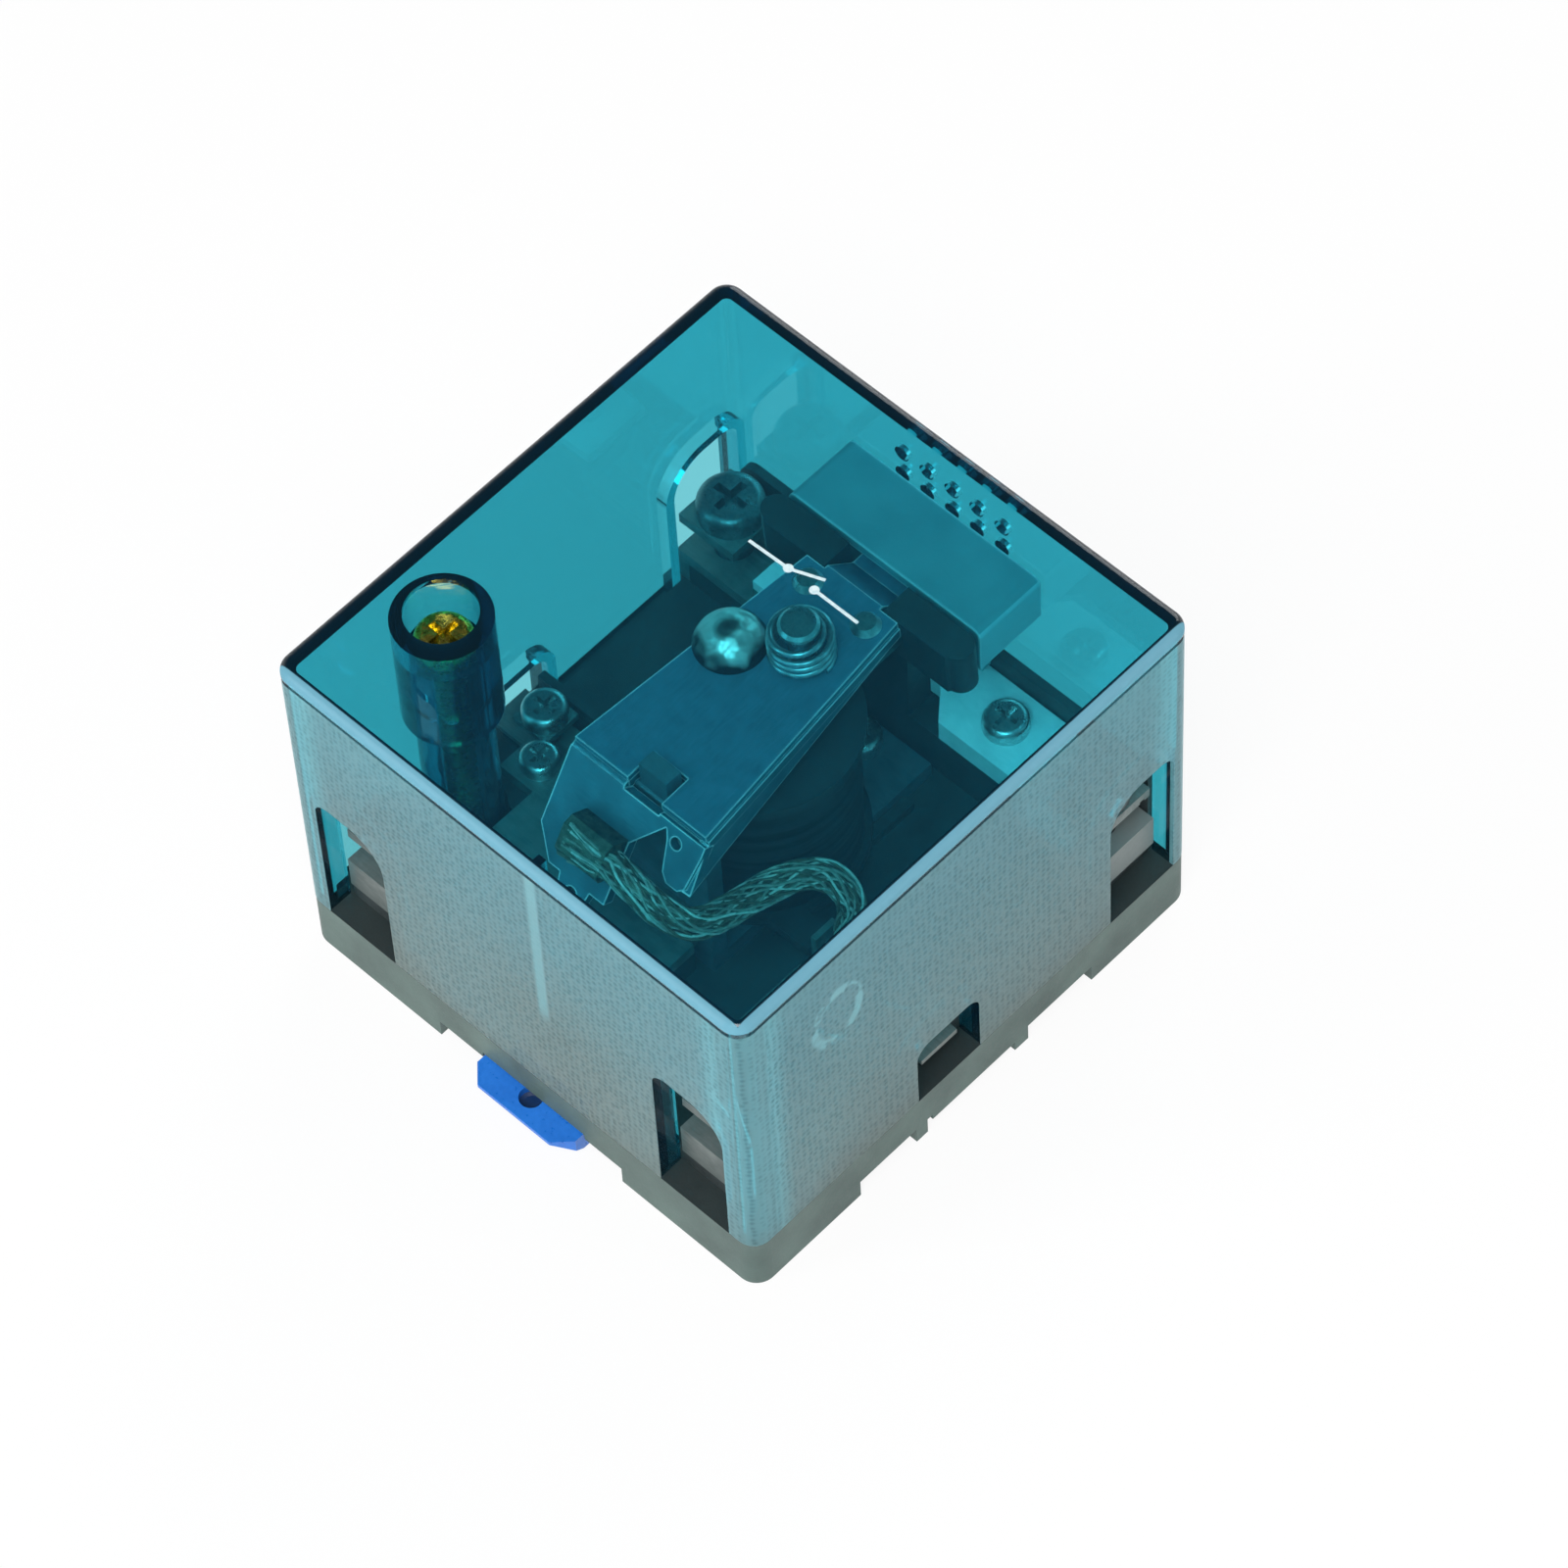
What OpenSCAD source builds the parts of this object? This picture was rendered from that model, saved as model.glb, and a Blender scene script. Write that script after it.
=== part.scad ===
// Power relay with screw terminals under a clear cover, on a base that snaps onto a 35 mm rail.
// The origin is the middle of the rail seat, on the plane of the feet.
// X runs along the rail, -Y is the side with the clip, Z is up.

/* [Case] */
// Width of the cover and base, along the rail
case_w = 73.8; // [73:0.2:80]
// Depth of the cover and base, across the rail
case_d = 75; // [74.4:0.2:80]
// Overall height, feet to top of cover
case_h = 56.4; // [56.2:0.2:62]
// Thickness of the cover's side walls
cover_wall = 1.8; // [1.4:0.1:1.8]
// Thickness of the cover's top
cover_roof = 1.8; // [1.4:0.1:2]
// Radius of the cover's upright corners
cover_corner_r = 2.5; // [2.4:0.1:4]
// Rounding along the cover's top edges
cover_edge_r = 1.2; // [0.6:0.1:1.2]
// Depth of the thickened rims round the cover's openings, beyond the wall
collar_depth = 1.6; // [1:0.1:1.6]
// Width of the thickened rims round the cover's openings
collar_w = 1.4; // [1:0.1:1.6]

/* [Openings] */
// Width of each power wire opening
entry_w = 11; // [10.6:0.1:11.4]
// Top of the power wire openings above the feet
entry_top = 32.4; // [30:0.2:34]
// Tight upper corner radius of a power wire opening
entry_tight_r = 2.4; // [1.5:0.1:3]
// Wide upper corner radius of a power wire opening
entry_wide_r = 5.4; // [4:0.1:5.6]
// Width of each coil wire opening
coil_entry_w = 10.6; // [10:0.1:11]
// Top of the coil wire openings above the feet
coil_entry_top = 19.3; // [18:0.1:21]
// Upper corner radius of a coil wire opening
coil_entry_r = 2.2; // [1:0.1:3]
// Diameter of a vent hole
vent_d = 2.2; // [1.4:0.1:2.6]
// Distance between vent holes
vent_pitch = 3.95; // [3.2:0.05:4.2]
// Vent holes in a row
vent_count = 5; // [3:1:7]

/* [Cover screw] */
// Distance of the screw tube's middle from the left side
tube_side = 9.3; // [8.9:0.1:9.5]
// Distance of the screw tube's middle from the front side
tube_front = 18.3; // [17.9:0.1:18.5]
// Outside diameter of the screw tube, upper part
tube_d = 12.3; // [11.8:0.1:12.6]
// Outside diameter of the screw tube, lower part
tube_low_d = 9.4; // [8.8:0.1:9.6]
// Diameter of the tube's mouth
tube_mouth_d = 9; // [8.6:0.1:9.4]
// Depth of the screw head's top below the cover's top
screw_sink = 4.4; // [3:0.1:6]
// Diameter of the cover screw's head
cover_head_d = 7.3; // [6.6:0.1:7.6]
// Height of the cover screw's head
cover_head_h = 2.6; // [2:0.1:3]
// Diameter of the cover screw's shank
cover_shank_d = 3.8; // [3:0.1:4]

/* [Rail base] */
// Height of the rail base
base_h = 8.6; // [8.2:0.1:9]
// Radius of the rail base's upright corners
base_corner_r = 2.6; // [2.4:0.1:4]
// Width of the recess that takes the rail
rail_gap = 40; // [39.6:0.1:40.4]
// Depth of the recess that takes the rail
rail_depth = 2.9; // [2.7:0.1:3]
// Width of the rail that the base is made for
rail_w = 35; // [34.8:0.1:35]
// Thickness of the fixed hooks under the rail's edge
hook_t = 1.5; // [1.2:0.1:1.6]
// Length of each fixed hook along the rail
hook_len = 9; // [6:0.5:10]

/* [Rail clip] */
// Middle of the clip along X
clip_x = 0.6; // [-1:0.1:1]
// Width of the clip
clip_w = 16.2; // [15:0.1:17]
// Thickness of the clip
clip_t = 3; // [2.8:0.1:3.1]
// How far the clip stands out of the base at rest
clip_out = 3.4; // [3.2:0.1:4]
// Radius of the screwdriver hole in the clip
clip_hole_r = 1.5; // [1.2:0.1:1.6]
// Travel of the clip when it is pulled out
clip_travel = 4.5; // [3.5:0.1:4.5]
// Play of the clip in its channel, on each side
clip_play = 0.3; // [0.2:0.05:0.4]

/* [Inner base] */
// Thickness of the inner base's floor
floor_t = 2.6; // [2.2:0.1:2.8]
// Height of the seats under the power terminals, above the floor
seat_h = 3.6; // [3.4:0.1:4]
// Top of the inner base's rear wall above the feet
rear_wall_top = 25; // [24:0.2:28]
// Thickness of the inner base's walls and barriers
barrier_t = 1.2; // [1:0.1:1.4]

/* [Terminals] */
// Thickness of the power terminal strips
strip_t = 1.8; // [1.5:0.1:2]
// Width of the power terminal strips at the wire end
strip_w = 10; // [9.6:0.1:10]
// Distance of the front strips' middle from the case's side
strip_side = 9.6; // [9.4:0.1:9.8]
// Distance of the rear strips' middle from the rear side
strip_rear = 8.6; // [8.5:0.1:8.7]
// Rise from the wire end of a rear strip to its inner end
strip_step = 3.8; // [3.4:0.1:4.2]
// Length of the low wire end of a rear strip
wire_end_len = 12.7; // [12.4:0.1:13]
// Diameter of a terminal screw's head
term_head_d = 8.6; // [8:0.1:9]
// Height of a terminal screw's head
term_head_h = 3.2; // [2.8:0.1:3.6]
// Diameter of a terminal screw's shank
term_shank_d = 4.8; // [4.4:0.1:5]
// Side of a square clamp plate
clamp_side = 9; // [8.6:0.1:9.2]
// Thickness of a clamp plate
clamp_t = 1.6; // [1.2:0.1:1.8]
// Gap between a terminal strip and its open clamp plate
clamp_gap = 5.2; // [4.6:0.1:5.6]
// Diameter of the small strip screws' heads
small_head_d = 5.8; // [5:0.1:6]
// Diameter of the small strip screws' shanks
small_shank_d = 2.8; // [2.4:0.1:3]

/* [Coil terminals] */
// Distance of the coil terminals' middle from the front side
coil_strip_front = 33; // [32.8:0.1:33.2]
// Width of a coil terminal strip
coil_strip_w = 6; // [5.6:0.1:6.2]
// Thickness of a coil terminal strip
coil_strip_t = 0.8; // [0.6:0.1:1]
// Distance of the coil terminal screws from the case's side
coil_screw_side = 8.3; // [8:0.1:8.8]
// Side of a square coil washer
coil_clamp_side = 5.6; // [5.2:0.1:5.6]
// Thickness of a coil washer
coil_clamp_t = 1; // [0.8:0.1:1.2]

/* [Magnet] */
// Distance of the hinge line from the front side
hinge_front_side = 23.1; // [23:0.1:23.3]
// Gap between the yoke's limb and the bobbin's round flanges
bobbin_room = 1.2; // [1:0.1:1.4]
// Thickness of the bobbin's flanges
flange_t = 1.4; // [1.2:0.1:1.6]
// Depth of the bobbin's flanges beyond the wound coil
flange_step = 0.9; // [0.6:0.1:1.8]
// Diameter of the iron core
core_d = 9; // [8:0.1:10]
// Diameter of the pole at the core's top
pole_d = 13; // [12:0.1:14]
// Height of the pole
pole_h = 3.4; // [3.2:0.1:3.6]
// Thickness of the yoke
yoke_t = 2.4; // [2:0.1:2.4]
// Width of the yoke
yoke_w = 17; // [16:0.1:18]
// Distance of the yoke's top below the cover's top
head_room = 15.4; // [15.2:0.1:15.8]
// Radius of the ridge on the yoke that the armature rocks on
pivot_r = 0.4; // [0.3:0.05:0.4]

/* [Armature] */
// Angle through which the armature closes
armature_swing = 3; // [2.4:0.1:3]
// Thickness of the armature
armature_t = 1.6; // [1.4:0.1:1.6]
// Width of the armature at its hinge
armature_w = 21.4; // [20.8:0.1:21.6]
// Width of the armature at its far end
armature_end_w = 15; // [14:0.1:15.4]
// Angle of the armature's leg below its plate
leg_slope = 55.5; // [54:0.5:57]
// Length of the armature's leg
leg_len = 15.5; // [15:0.1:16]
// Thickness of the contact blade
blade_t = 1; // [0.8:0.1:1]
// Drop of the blade's rear end below its plate
blade_drop = 4; // [3.8:0.1:4.2]
// Distance of the contacts from the rear side
contact_rear = 8.9; // [8.7:0.1:9.3]
// Diameter of the contacts
contact_d = 6; // [5:0.1:6.4]
// Thickness of each contact
contact_t = 1.6; // [1.4:0.1:1.6]

/* [Small parts] */
// Diameter of the domed rivet on the blade
dome_d = 9.1; // [8.4:0.1:9.4]
// Height of the domed rivet
dome_h = 3.4; // [3:0.1:3.6]
// Outside diameter of the pressure spring
press_spring_d = 8.2; // [7.6:0.1:8.4]
// Wire diameter of the pressure spring
press_wire_d = 0.9; // [0.7:0.1:1]
// Turns of the pressure spring
press_turns = 4.5; // [4:0.5:5]
// Height of the pressure spring
press_spring_h = 6.2; // [6:0.1:6.4]
// Outside diameter of the return spring
return_spring_d = 4.8; // [4.4:0.1:5]
// Wire diameter of the return spring
return_wire_d = 0.7; // [0.6:0.1:0.8]
// Diameter of the braided lead
braid_d = 4; // [3.4:0.1:4.2]

/* [Hidden] */
$fn = 64;

// Overlap that joins the pieces of one solid, and lets a cut run past a face
eps = 0.02;
cut = 1;
// Clearance between pieces that sit next to each other
gap = 0.2;
// Clearance of a shank in its hole, on the radius
hole_gap = 0.1;
small_hole_d = small_shank_d + 2 * hole_gap;
// Clearance of the armature's groove round the yoke's ridge, on the radius
pivot_gap = 0.05;

// Faces of the case
front = -case_d / 2;
rear = case_d / 2;
side_x = case_w / 2;

// Heights above the feet
floor_z = base_h + floor_t;
seat_z = floor_z + seat_h;
strip_z = seat_z + strip_t;
high_z = strip_z + strip_step;
yoke_top = case_h - head_room;
yoke_h = yoke_top - floor_z;
roof_z = case_h - cover_roof;
clamp_z = strip_z + clamp_gap;
term_head_z = clamp_z + clamp_t;

// Outline of the inner base, inside the cover's rims
inner_w = case_w - 2 * (cover_wall + collar_depth + gap);
inner_front = front + cover_wall + collar_depth + gap;
inner_rear = rear - cover_wall - 2 * gap;

// Terminals
strip_x = side_x - strip_side;
strip_y = rear - strip_rear;
strip_out_x = side_x - 2.7;
strip_out_y = rear - 3.3;
step_x = strip_out_x - wire_end_len;
lip_drop = strip_z - floor_z - 0.1;
wire_screw_in = 4.7;
wire_screw_places = [
    [-strip_x, -strip_out_y + wire_screw_in], [strip_x, -strip_out_y + wire_screw_in],
    [-strip_out_x + wire_screw_in, strip_y], [strip_out_x - wire_screw_in, strip_y]
];
rear_screw_x = step_x - 6.2;

// Coil terminals
coil_strip_y = front + coil_strip_front;
coil_strip_out = side_x - 1.6;
coil_screw_x = side_x - coil_screw_side;
coil_seat_z = floor_z + 1;
coil_washer_z = coil_seat_z + coil_strip_t + 3.2;
coil_tag_x = 16.7;

// Places of the openings and vents in the cover's walls
side_entry_y = strip_y;
front_entry_x = strip_x;
vent_x = 0.8;
vent_low_z = case_h - 11.4;
vent_rows = 2;

// Screw tube and cover screw
tube_x = -side_x + tube_side;
tube_y = front + tube_front;
tube_step_z = case_h - 19.4;
cover_head_top = case_h - screw_sink;
cover_seat_z = cover_head_top - cover_head_h;

// Screws between the two bases
base_screw_y = rear - 8.9;
base_screw_places = [[-20, base_screw_y], [20, base_screw_y], [20, -base_screw_y]];
base_head_z = 3.2;
base_head_d = 5.6;
base_shank_d = 2.9;
base_screw_len = base_h + floor_t - base_head_z - 0.8;

// Hinge line of the armature, on the yoke's top front edge
hinge_y = front + hinge_front_side;
hinge_z = yoke_top + 0.1;
hinge_front = 1.6;
fold_y = hinge_y - hinge_front;
yoke_front = hinge_y;
tab_x = 0.7;
tab_w = 4.4;
tab_room = 0.5;

// Arc hood round the contacts
hood_half = 15.2;
hood_front = rear - 12.6;
hood_low = hinge_z - 3.1;
hood_top = hinge_z + 4.1;
hood_wall = 1.5;

// Carrier bar at the armature's far end
carrier_back = hood_front - 0.6;
plate_rear = carrier_back - 4.5;
carrier_front = plate_rear + 0.15;
carrier_half = 16.4;
carrier_low = hinge_z - 5;
rivet_places = [[-4.6, plate_rear - 2.6], [4.6, plate_rear - 2.6]];
rivet_r = 1;
rivet_hole_r = rivet_r + hole_gap;
shelf_t = 1.5;

// Armature and blade, closed
plate_top = hinge_z + armature_t;
bend_in = armature_t / 2 * tan(leg_slope / 2);
blade_top = plate_top + blade_t;
carrier_top = blade_top - 0.2;
dome_place = [-5.7, plate_rear - 14.5];
stud_place = [1.9, plate_rear - 10.4];
stem_r = 1.5;
stem_hole_r = stem_r + hole_gap;

// Contact stack, armature closed
contact_y = rear - contact_rear;
low_blade_z = plate_top - blade_drop;
fixed_top = low_blade_z - contact_t - 0.05;
bracket_top = fixed_top - contact_t;
bracket_t = 1.6;
bracket_riser_x = 4.5;
tower_half = 4.2;

// Magnet between the yoke's limb and the yoke's screw
yoke_screw_y = strip_y - strip_w / 2 - 4.3;
bobbin_front = hinge_y + yoke_t + bobbin_room;
bobbin_rear = yoke_screw_y - 3.8;
bobbin_d = bobbin_rear - bobbin_front;
coil_y = (bobbin_front + bobbin_rear) / 2;
winding_d = bobbin_d - 2 * flange_step;
bobbin_low = floor_z + yoke_t + 0.05;
bobbin_top = yoke_top - pole_h - 0.05;

// Frame strip: neck beside the screw tube, then its cross part and its rear part
neck_left = tube_x + 5.2;
neck_right = tube_x + 10.8;
neck_rear_left = tube_x - 0.6;
cross_rear = hinge_y - 1.2;
cross_front = cross_rear - 5;
cross_end = 6.6;
neck_rear = coil_strip_y - coil_strip_w / 2 - 0.3;
left_screw = [tube_x + 3.1, tube_y + 9.6];
frame_rivet_x = 3;
frame_rivet_z = strip_z + 3;
tab_t = 1;

// Lead strip and its landing
landing_left = strip_x - 9.7;
landing_right = strip_x + 2.5;
landing_front = hinge_y - 10.2;
landing_rear = hinge_y + 5.2;
right_screw = [strip_x - 1.5, hinge_y + 2];

// Rail clip, with the window that its spring works in
clip_low = 0.5;
clip_front = front - clip_out;
clip_rear = -rail_w / 2 + 1.5;
post_y = front + 4.9;
post_t = 1.2;
spring_room = 2.3;
clip_window_front = front + 2.1;
clip_window_rear = post_y + post_t + clip_travel + spring_room;

// Return spring, from the leg's tab to its anchor
spring_x = -3.5;
spring_ring_r = 1.9;
tab_hole_v = leg_len + 1.6;
leg_dir = [0, -cos(leg_slope), -sin(leg_slope)];
leg_in = [0, sin(leg_slope), -cos(leg_slope)];
fold_point = [spring_x, fold_y, plate_top];
ring_rest = at_rest(fold_point + (tab_hole_v + spring_ring_r) * leg_dir + armature_t / 2 * leg_in);
anchor_hole_z = floor_z + 2.6;
spring_y = ring_rest[1];

// Weld block on the leg: its right end, and its middle down the leg
weld_x = 1;
weld_v = 8.8;
weld_h = 3.8;
weld_point = at_rest([weld_x, fold_y, plate_top] + weld_v * leg_dir - (weld_h / 2 + 0.2) * leg_in);

// Lug of the braided lead: plan direction from the lead to its screw
lug_dir = unit([0.54, -0.84, 0]);
lug_barrel_d = 5;
lug_reach = 8.4;
lug_start = [right_screw[0], right_screw[1], strip_z + lug_barrel_d / 2 + 0.1] - lug_reach * lug_dir;

// Points that the braided lead passes on its way to the lug
braid_points = [
    [4.8, -22.6, 35.6], [8.6, -22.2, 33.9], [11.8, -20.2, 32], [12.6, -15.4, 30], [13.2, -10.3, 29],
    [14.6, -6.3, 29], [16.4, -3.4, 28], [18.6, -2.4, 26.2], [19.6, -2.2, 23], [20, -3.2, 20.2]
];

function unit(v) = v / norm(v);

// Point turned about the hinge line from closed to rest
function at_rest(p) = let (a = armature_swing, y = p[1] - hinge_y, z = p[2] - hinge_z)
    [p[0], hinge_y + y * cos(a) - z * sin(a), hinge_z + y * sin(a) + z * cos(a)];

// Smooth curve through a list of points
function curve_point(a, b, c, d, t) = 0.5 * ((2 * b) + (c - a) * t
    + (2 * a - 5 * b + 4 * c - d) * t * t + (3 * b - a - 3 * c + d) * t * t * t);
function smooth(points, steps) = let (last = len(points) - 1) [
    for (i = [0 : last - 1], s = [0 : steps - 1])
        curve_point(points[max(i - 1, 0)], points[i], points[i + 1],
            points[min(i + 2, last)], s / steps),
    points[last]
];

// Direction of a path at each of its points
function heading(path, i) = unit(path[min(i + 1, len(path) - 1)] - path[max(i - 1, 0)]);

// Side direction carried along a path without twisting
function carried(side, along) = unit(side - (side * along) * along);

function coil_path(r, h, turns, steps) = let (n = ceil(turns * steps))
    [for (i = [0 : n]) [r * cos(360 * turns * i / n), r * sin(360 * turns * i / n), h * i / n]];

// Round wire or cord along a path, one polyhedron
module wire(path, r, sides) {
    start = carried([0.1, 0.2, 1], heading(path, 0));
    frames = [
        for (i = 0, side = start; i < len(path); i = i + 1,
            side = i < len(path) ? carried(side, heading(path, i)) : side) side
    ];
    points = [
        for (i = [0 : len(path) - 1], k = [0 : sides - 1])
            let (along = heading(path, i), side = frames[i], up = cross(along, side), a = 360 * k / sides)
            path[i] + r * (cos(a) * side + sin(a) * up)
    ];
    top = (len(path) - 1) * sides;
    faces = concat(
        [[for (k = [0 : sides - 1]) k]],
        [[for (k = [0 : sides - 1]) top + sides - 1 - k]],
        [for (i = [0 : len(path) - 2], k = [0 : sides - 1], half = [0, 1])
            let (a = i * sides + k, b = i * sides + (k + 1) % sides)
            half == 0 ? [a, a + sides, b + sides] : [a, b + sides, b]]
    );
    polyhedron(points, faces);
}

// Block with round upright corners
module round_block(w, d, h, r) {
    for (x = [-1, 1], y = [-1, 1])
        translate([x * (w / 2 - r), y * (d / 2 - r), 0]) cylinder(r = r, h = h);
    translate([-w / 2 + r, -d / 2, 0]) cube([w - 2 * r, d, h]);
    translate([-w / 2, -d / 2 + r, 0]) cube([w, d - 2 * r, h]);
}

// Section of a block whose top edges are rounded
module rounded_section(w, h, e) {
    translate([-w / 2, 0]) square([w, h - e]);
    translate([-w / 2 + e, 0]) square([w - 2 * e, h]);
    for (x = [-1, 1])
        translate([x * (w / 2 - e), h - e]) circle(r = e);
}

// Block with round upright corners and rounded top edges
module soft_block(w, d, h, r, e) {
    for (x = [-1, 1], y = [-1, 1])
        translate([x * (w / 2 - r), y * (d / 2 - r), 0]) rotate_extrude() intersection() {
            rounded_section(2 * r, h, e);
            square([r, h]);
        }
    translate([-w / 2 + r, 0, 0]) rotate([90, 0, 90]) linear_extrude(w - 2 * r) rounded_section(d, h, e);
    translate([0, d / 2 - r, 0]) rotate([90, 0, 0]) linear_extrude(d - 2 * r) rounded_section(w, h, e);
}

// Arched opening seen from outside, its left edge on the Y axis
module arch(w, h, left_r, right_r) {
    square([w, h - max(left_r, right_r)]);
    translate([left_r, 0]) square([w - left_r - right_r, h]);
    square([left_r + eps, h - left_r]);
    translate([w - right_r - eps, 0]) square([right_r + eps, h - right_r]);
    translate([left_r, h - left_r]) circle(r = left_r);
    translate([w - right_r, h - right_r]) circle(r = right_r);
}

// Cross recess for a screwdriver, sunk from z = 0
module cross_recess(size, depth) {
    for (a = [0, 90])
        rotate(a) translate([-size / 2, -size / 9, -depth]) cube([size, size / 4.5, depth + cut]);
}

// Pan-head screw, underside of its head at z = 0
module pan_screw(head_d, head_h, shank_d, shank_len) {
    edge = head_h * 0.4;
    difference() {
        rotate_extrude() {
            square([head_d / 2, head_h - edge]);
            square([head_d / 2 - edge, head_h]);
            translate([head_d / 2 - edge, head_h - edge]) intersection() {
                circle(r = edge);
                square(edge);
            }
        }
        translate([0, 0, head_h]) cross_recess(head_d * 0.56, head_h * 0.55);
    }
    translate([0, 0, -shank_len]) cylinder(d = shank_d, h = shank_len + eps);
}

// Shape cut by each of the cover's openings, run through the wall and its rim
module front_entry(grow, depth) {
    for (x = [-front_entry_x, front_entry_x])
        translate([x - entry_w / 2 - grow, front + depth, base_h - cut]) rotate([90, 0, 0])
            linear_extrude(depth + cut)
                arch(entry_w + 2 * grow, entry_top + grow - base_h + cut,
                    entry_tight_r + grow, entry_wide_r + grow);
}

module side_entry(grow, depth, side) {
    mirror([side < 0 ? 1 : 0, 0, 0])
        translate([side_x - depth, side_entry_y - entry_w / 2 - grow, base_h - cut]) rotate([90, 0, 90])
            linear_extrude(depth + cut)
                arch(entry_w + 2 * grow, entry_top + grow - base_h + cut,
                    entry_wide_r + grow, entry_tight_r + grow);
}

module coil_entry(grow, depth, side) {
    mirror([side < 0 ? 1 : 0, 0, 0])
        translate([side_x - depth, coil_strip_y - coil_entry_w / 2 - grow, base_h - cut]) rotate([90, 0, 90])
            linear_extrude(depth + cut)
                arch(coil_entry_w + 2 * grow, coil_entry_top + grow - base_h + cut,
                    coil_entry_r + grow, coil_entry_r + grow);
}

module all_entries(grow, depth) {
    front_entry(grow, depth);
    for (side = [-1, 1]) {
        side_entry(grow, depth, side);
        coil_entry(grow, depth, side);
    }
}

// Clear cover with its screw tube, thickened opening rims, vents and inner rib
module cover() {
    rim = cover_wall + collar_depth;
    rib_x = 3.9;
    rib_low = 26;
    color("lightseagreen", 0.5) difference() {
        union() {
            difference() {
                translate([0, 0, base_h])
                    soft_block(case_w, case_d, case_h - base_h, cover_corner_r, cover_edge_r);
                translate([0, 0, base_h - cut])
                    round_block(case_w - 2 * cover_wall, case_d - 2 * cover_wall,
                        roof_z - base_h + cut, cover_corner_r - cover_wall + 0.2);
            }
            intersection() {
                all_entries(collar_w, rim);
                translate([0, 0, base_h])
                    round_block(case_w - cover_wall, case_d - cover_wall, roof_z - base_h,
                        cover_corner_r - 0.8);
            }
            translate([tube_x, tube_y, floor_z]) cylinder(d = tube_low_d, h = roof_z - floor_z + eps);
            translate([tube_x, tube_y, tube_step_z]) cylinder(d = tube_d, h = roof_z - tube_step_z + eps);
            translate([rib_x - 0.6, front + cover_wall - eps, rib_low])
                cube([1.2, 1, roof_z - rib_low + eps]);
        }
        all_entries(0, rim + cut);
        translate([tube_x, tube_y, cover_seat_z]) cylinder(d = tube_mouth_d, h = case_h - cover_seat_z + cut);
        translate([tube_x, tube_y, floor_z - cut])
            cylinder(d = cover_shank_d + 4 * hole_gap, h = case_h - floor_z);
        for (i = [0 : vent_count - 1], j = [0 : vent_rows - 1])
            translate([vent_x + (i - (vent_count - 1) / 2) * vent_pitch, rear + cut,
                vent_low_z + j * vent_pitch])
                rotate([90, 0, 0]) cylinder(d = vent_d, h = cover_wall + 2 * cut, $fn = 24);
    }
}

// Long brass screw that holds the cover down
module cover_screw() {
    color("goldenrod") translate([tube_x, tube_y, cover_seat_z])
        pan_screw(cover_head_d, cover_head_h, cover_shank_d, cover_seat_z - base_h + 4);
}

// Grey rail base with its recess, hooks, ribs and clip channel
module rail_base() {
    slot_x = clip_x - clip_w / 2 - clip_play;
    slot_w = clip_w + 2 * clip_play;
    wing = 1;
    channel_z = clip_low + clip_t + clip_play;
    channel_rear = -rail_w / 2 + 5.6;
    ledge_z = clip_low + clip_t / 2 - clip_play;
    notch_half = 15;
    notch_depth = 4.6;
    groove_half = 14;
    foot_d = (case_d - rail_gap) / 2;
    groove_w = foot_d * 0.2;
    hook_x = 17;
    hook_root = 1.2;
    hook_slope = 35;
    color("slategray") {
        difference() {
            round_block(case_w, case_d, base_h, base_corner_r);
            translate([-side_x - cut, -rail_gap / 2, -cut])
                cube([case_w + 2 * cut, rail_gap, rail_depth + cut]);
            translate([-notch_half, front - cut, -cut])
                cube([2 * notch_half, notch_depth + cut, rail_depth + cut]);
            translate([slot_x, front - cut, -cut])
                cube([slot_w, channel_rear - front + cut, channel_z + cut]);
            translate([slot_x - wing, front + notch_depth, ledge_z])
                cube([slot_w + 2 * wing, channel_rear - front - notch_depth, channel_z - ledge_z]);
            // Coring grooves in the rear foot
            for (share = [0.2, 0.58])
                translate([-groove_half, rail_gap / 2 + share * foot_d, -cut])
                    cube([2 * groove_half, groove_w, base_h - 2.4]);
            for (p = base_screw_places) translate([p[0], p[1], -cut]) {
                cylinder(d = base_shank_d + 5 * hole_gap, h = base_h + 2 * cut);
                cylinder(d = base_head_d + 8 * hole_gap, h = cut + base_head_z);
            }
            translate([tube_x, tube_y, base_h - 4.4])
                cylinder(d = cover_shank_d + 2 * hole_gap, h = 5 + cut);
        }
        // Raised middle between the two ribs that stand inside the rail
        difference() {
            for (r = [[-10.4, 1.9, 0.2], [-7.6, 14.2, 1.9], [6.6, 2.3, 0.2]])
                translate([-side_x, r[0], r[2]]) cube([case_w, r[1], rail_depth - r[2] + eps]);
            translate([slot_x - wing, front, -cut]) cube([slot_w + 2 * wing, channel_rear - front, base_h]);
        }
        // Fixed hooks under the rail's far edge
        for (x = [-1, 1])
            translate([x * hook_x - hook_len / 2, rail_w / 2 - hook_root, 0]) difference() {
                cube([hook_len, (rail_gap - rail_w) / 2 + hook_root + eps, hook_t]);
                translate([-cut, 0, 0]) rotate([hook_slope, 0, 0]) translate([0, -4, -4])
                    cube([hook_len + 2 * cut, 4, 4]);
            }
        // Post that the clip's spring pushes against
        translate([clip_x - 1.6, post_y, clip_low]) cube([3.2, post_t, channel_z - clip_low + eps]);
    }
}

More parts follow.
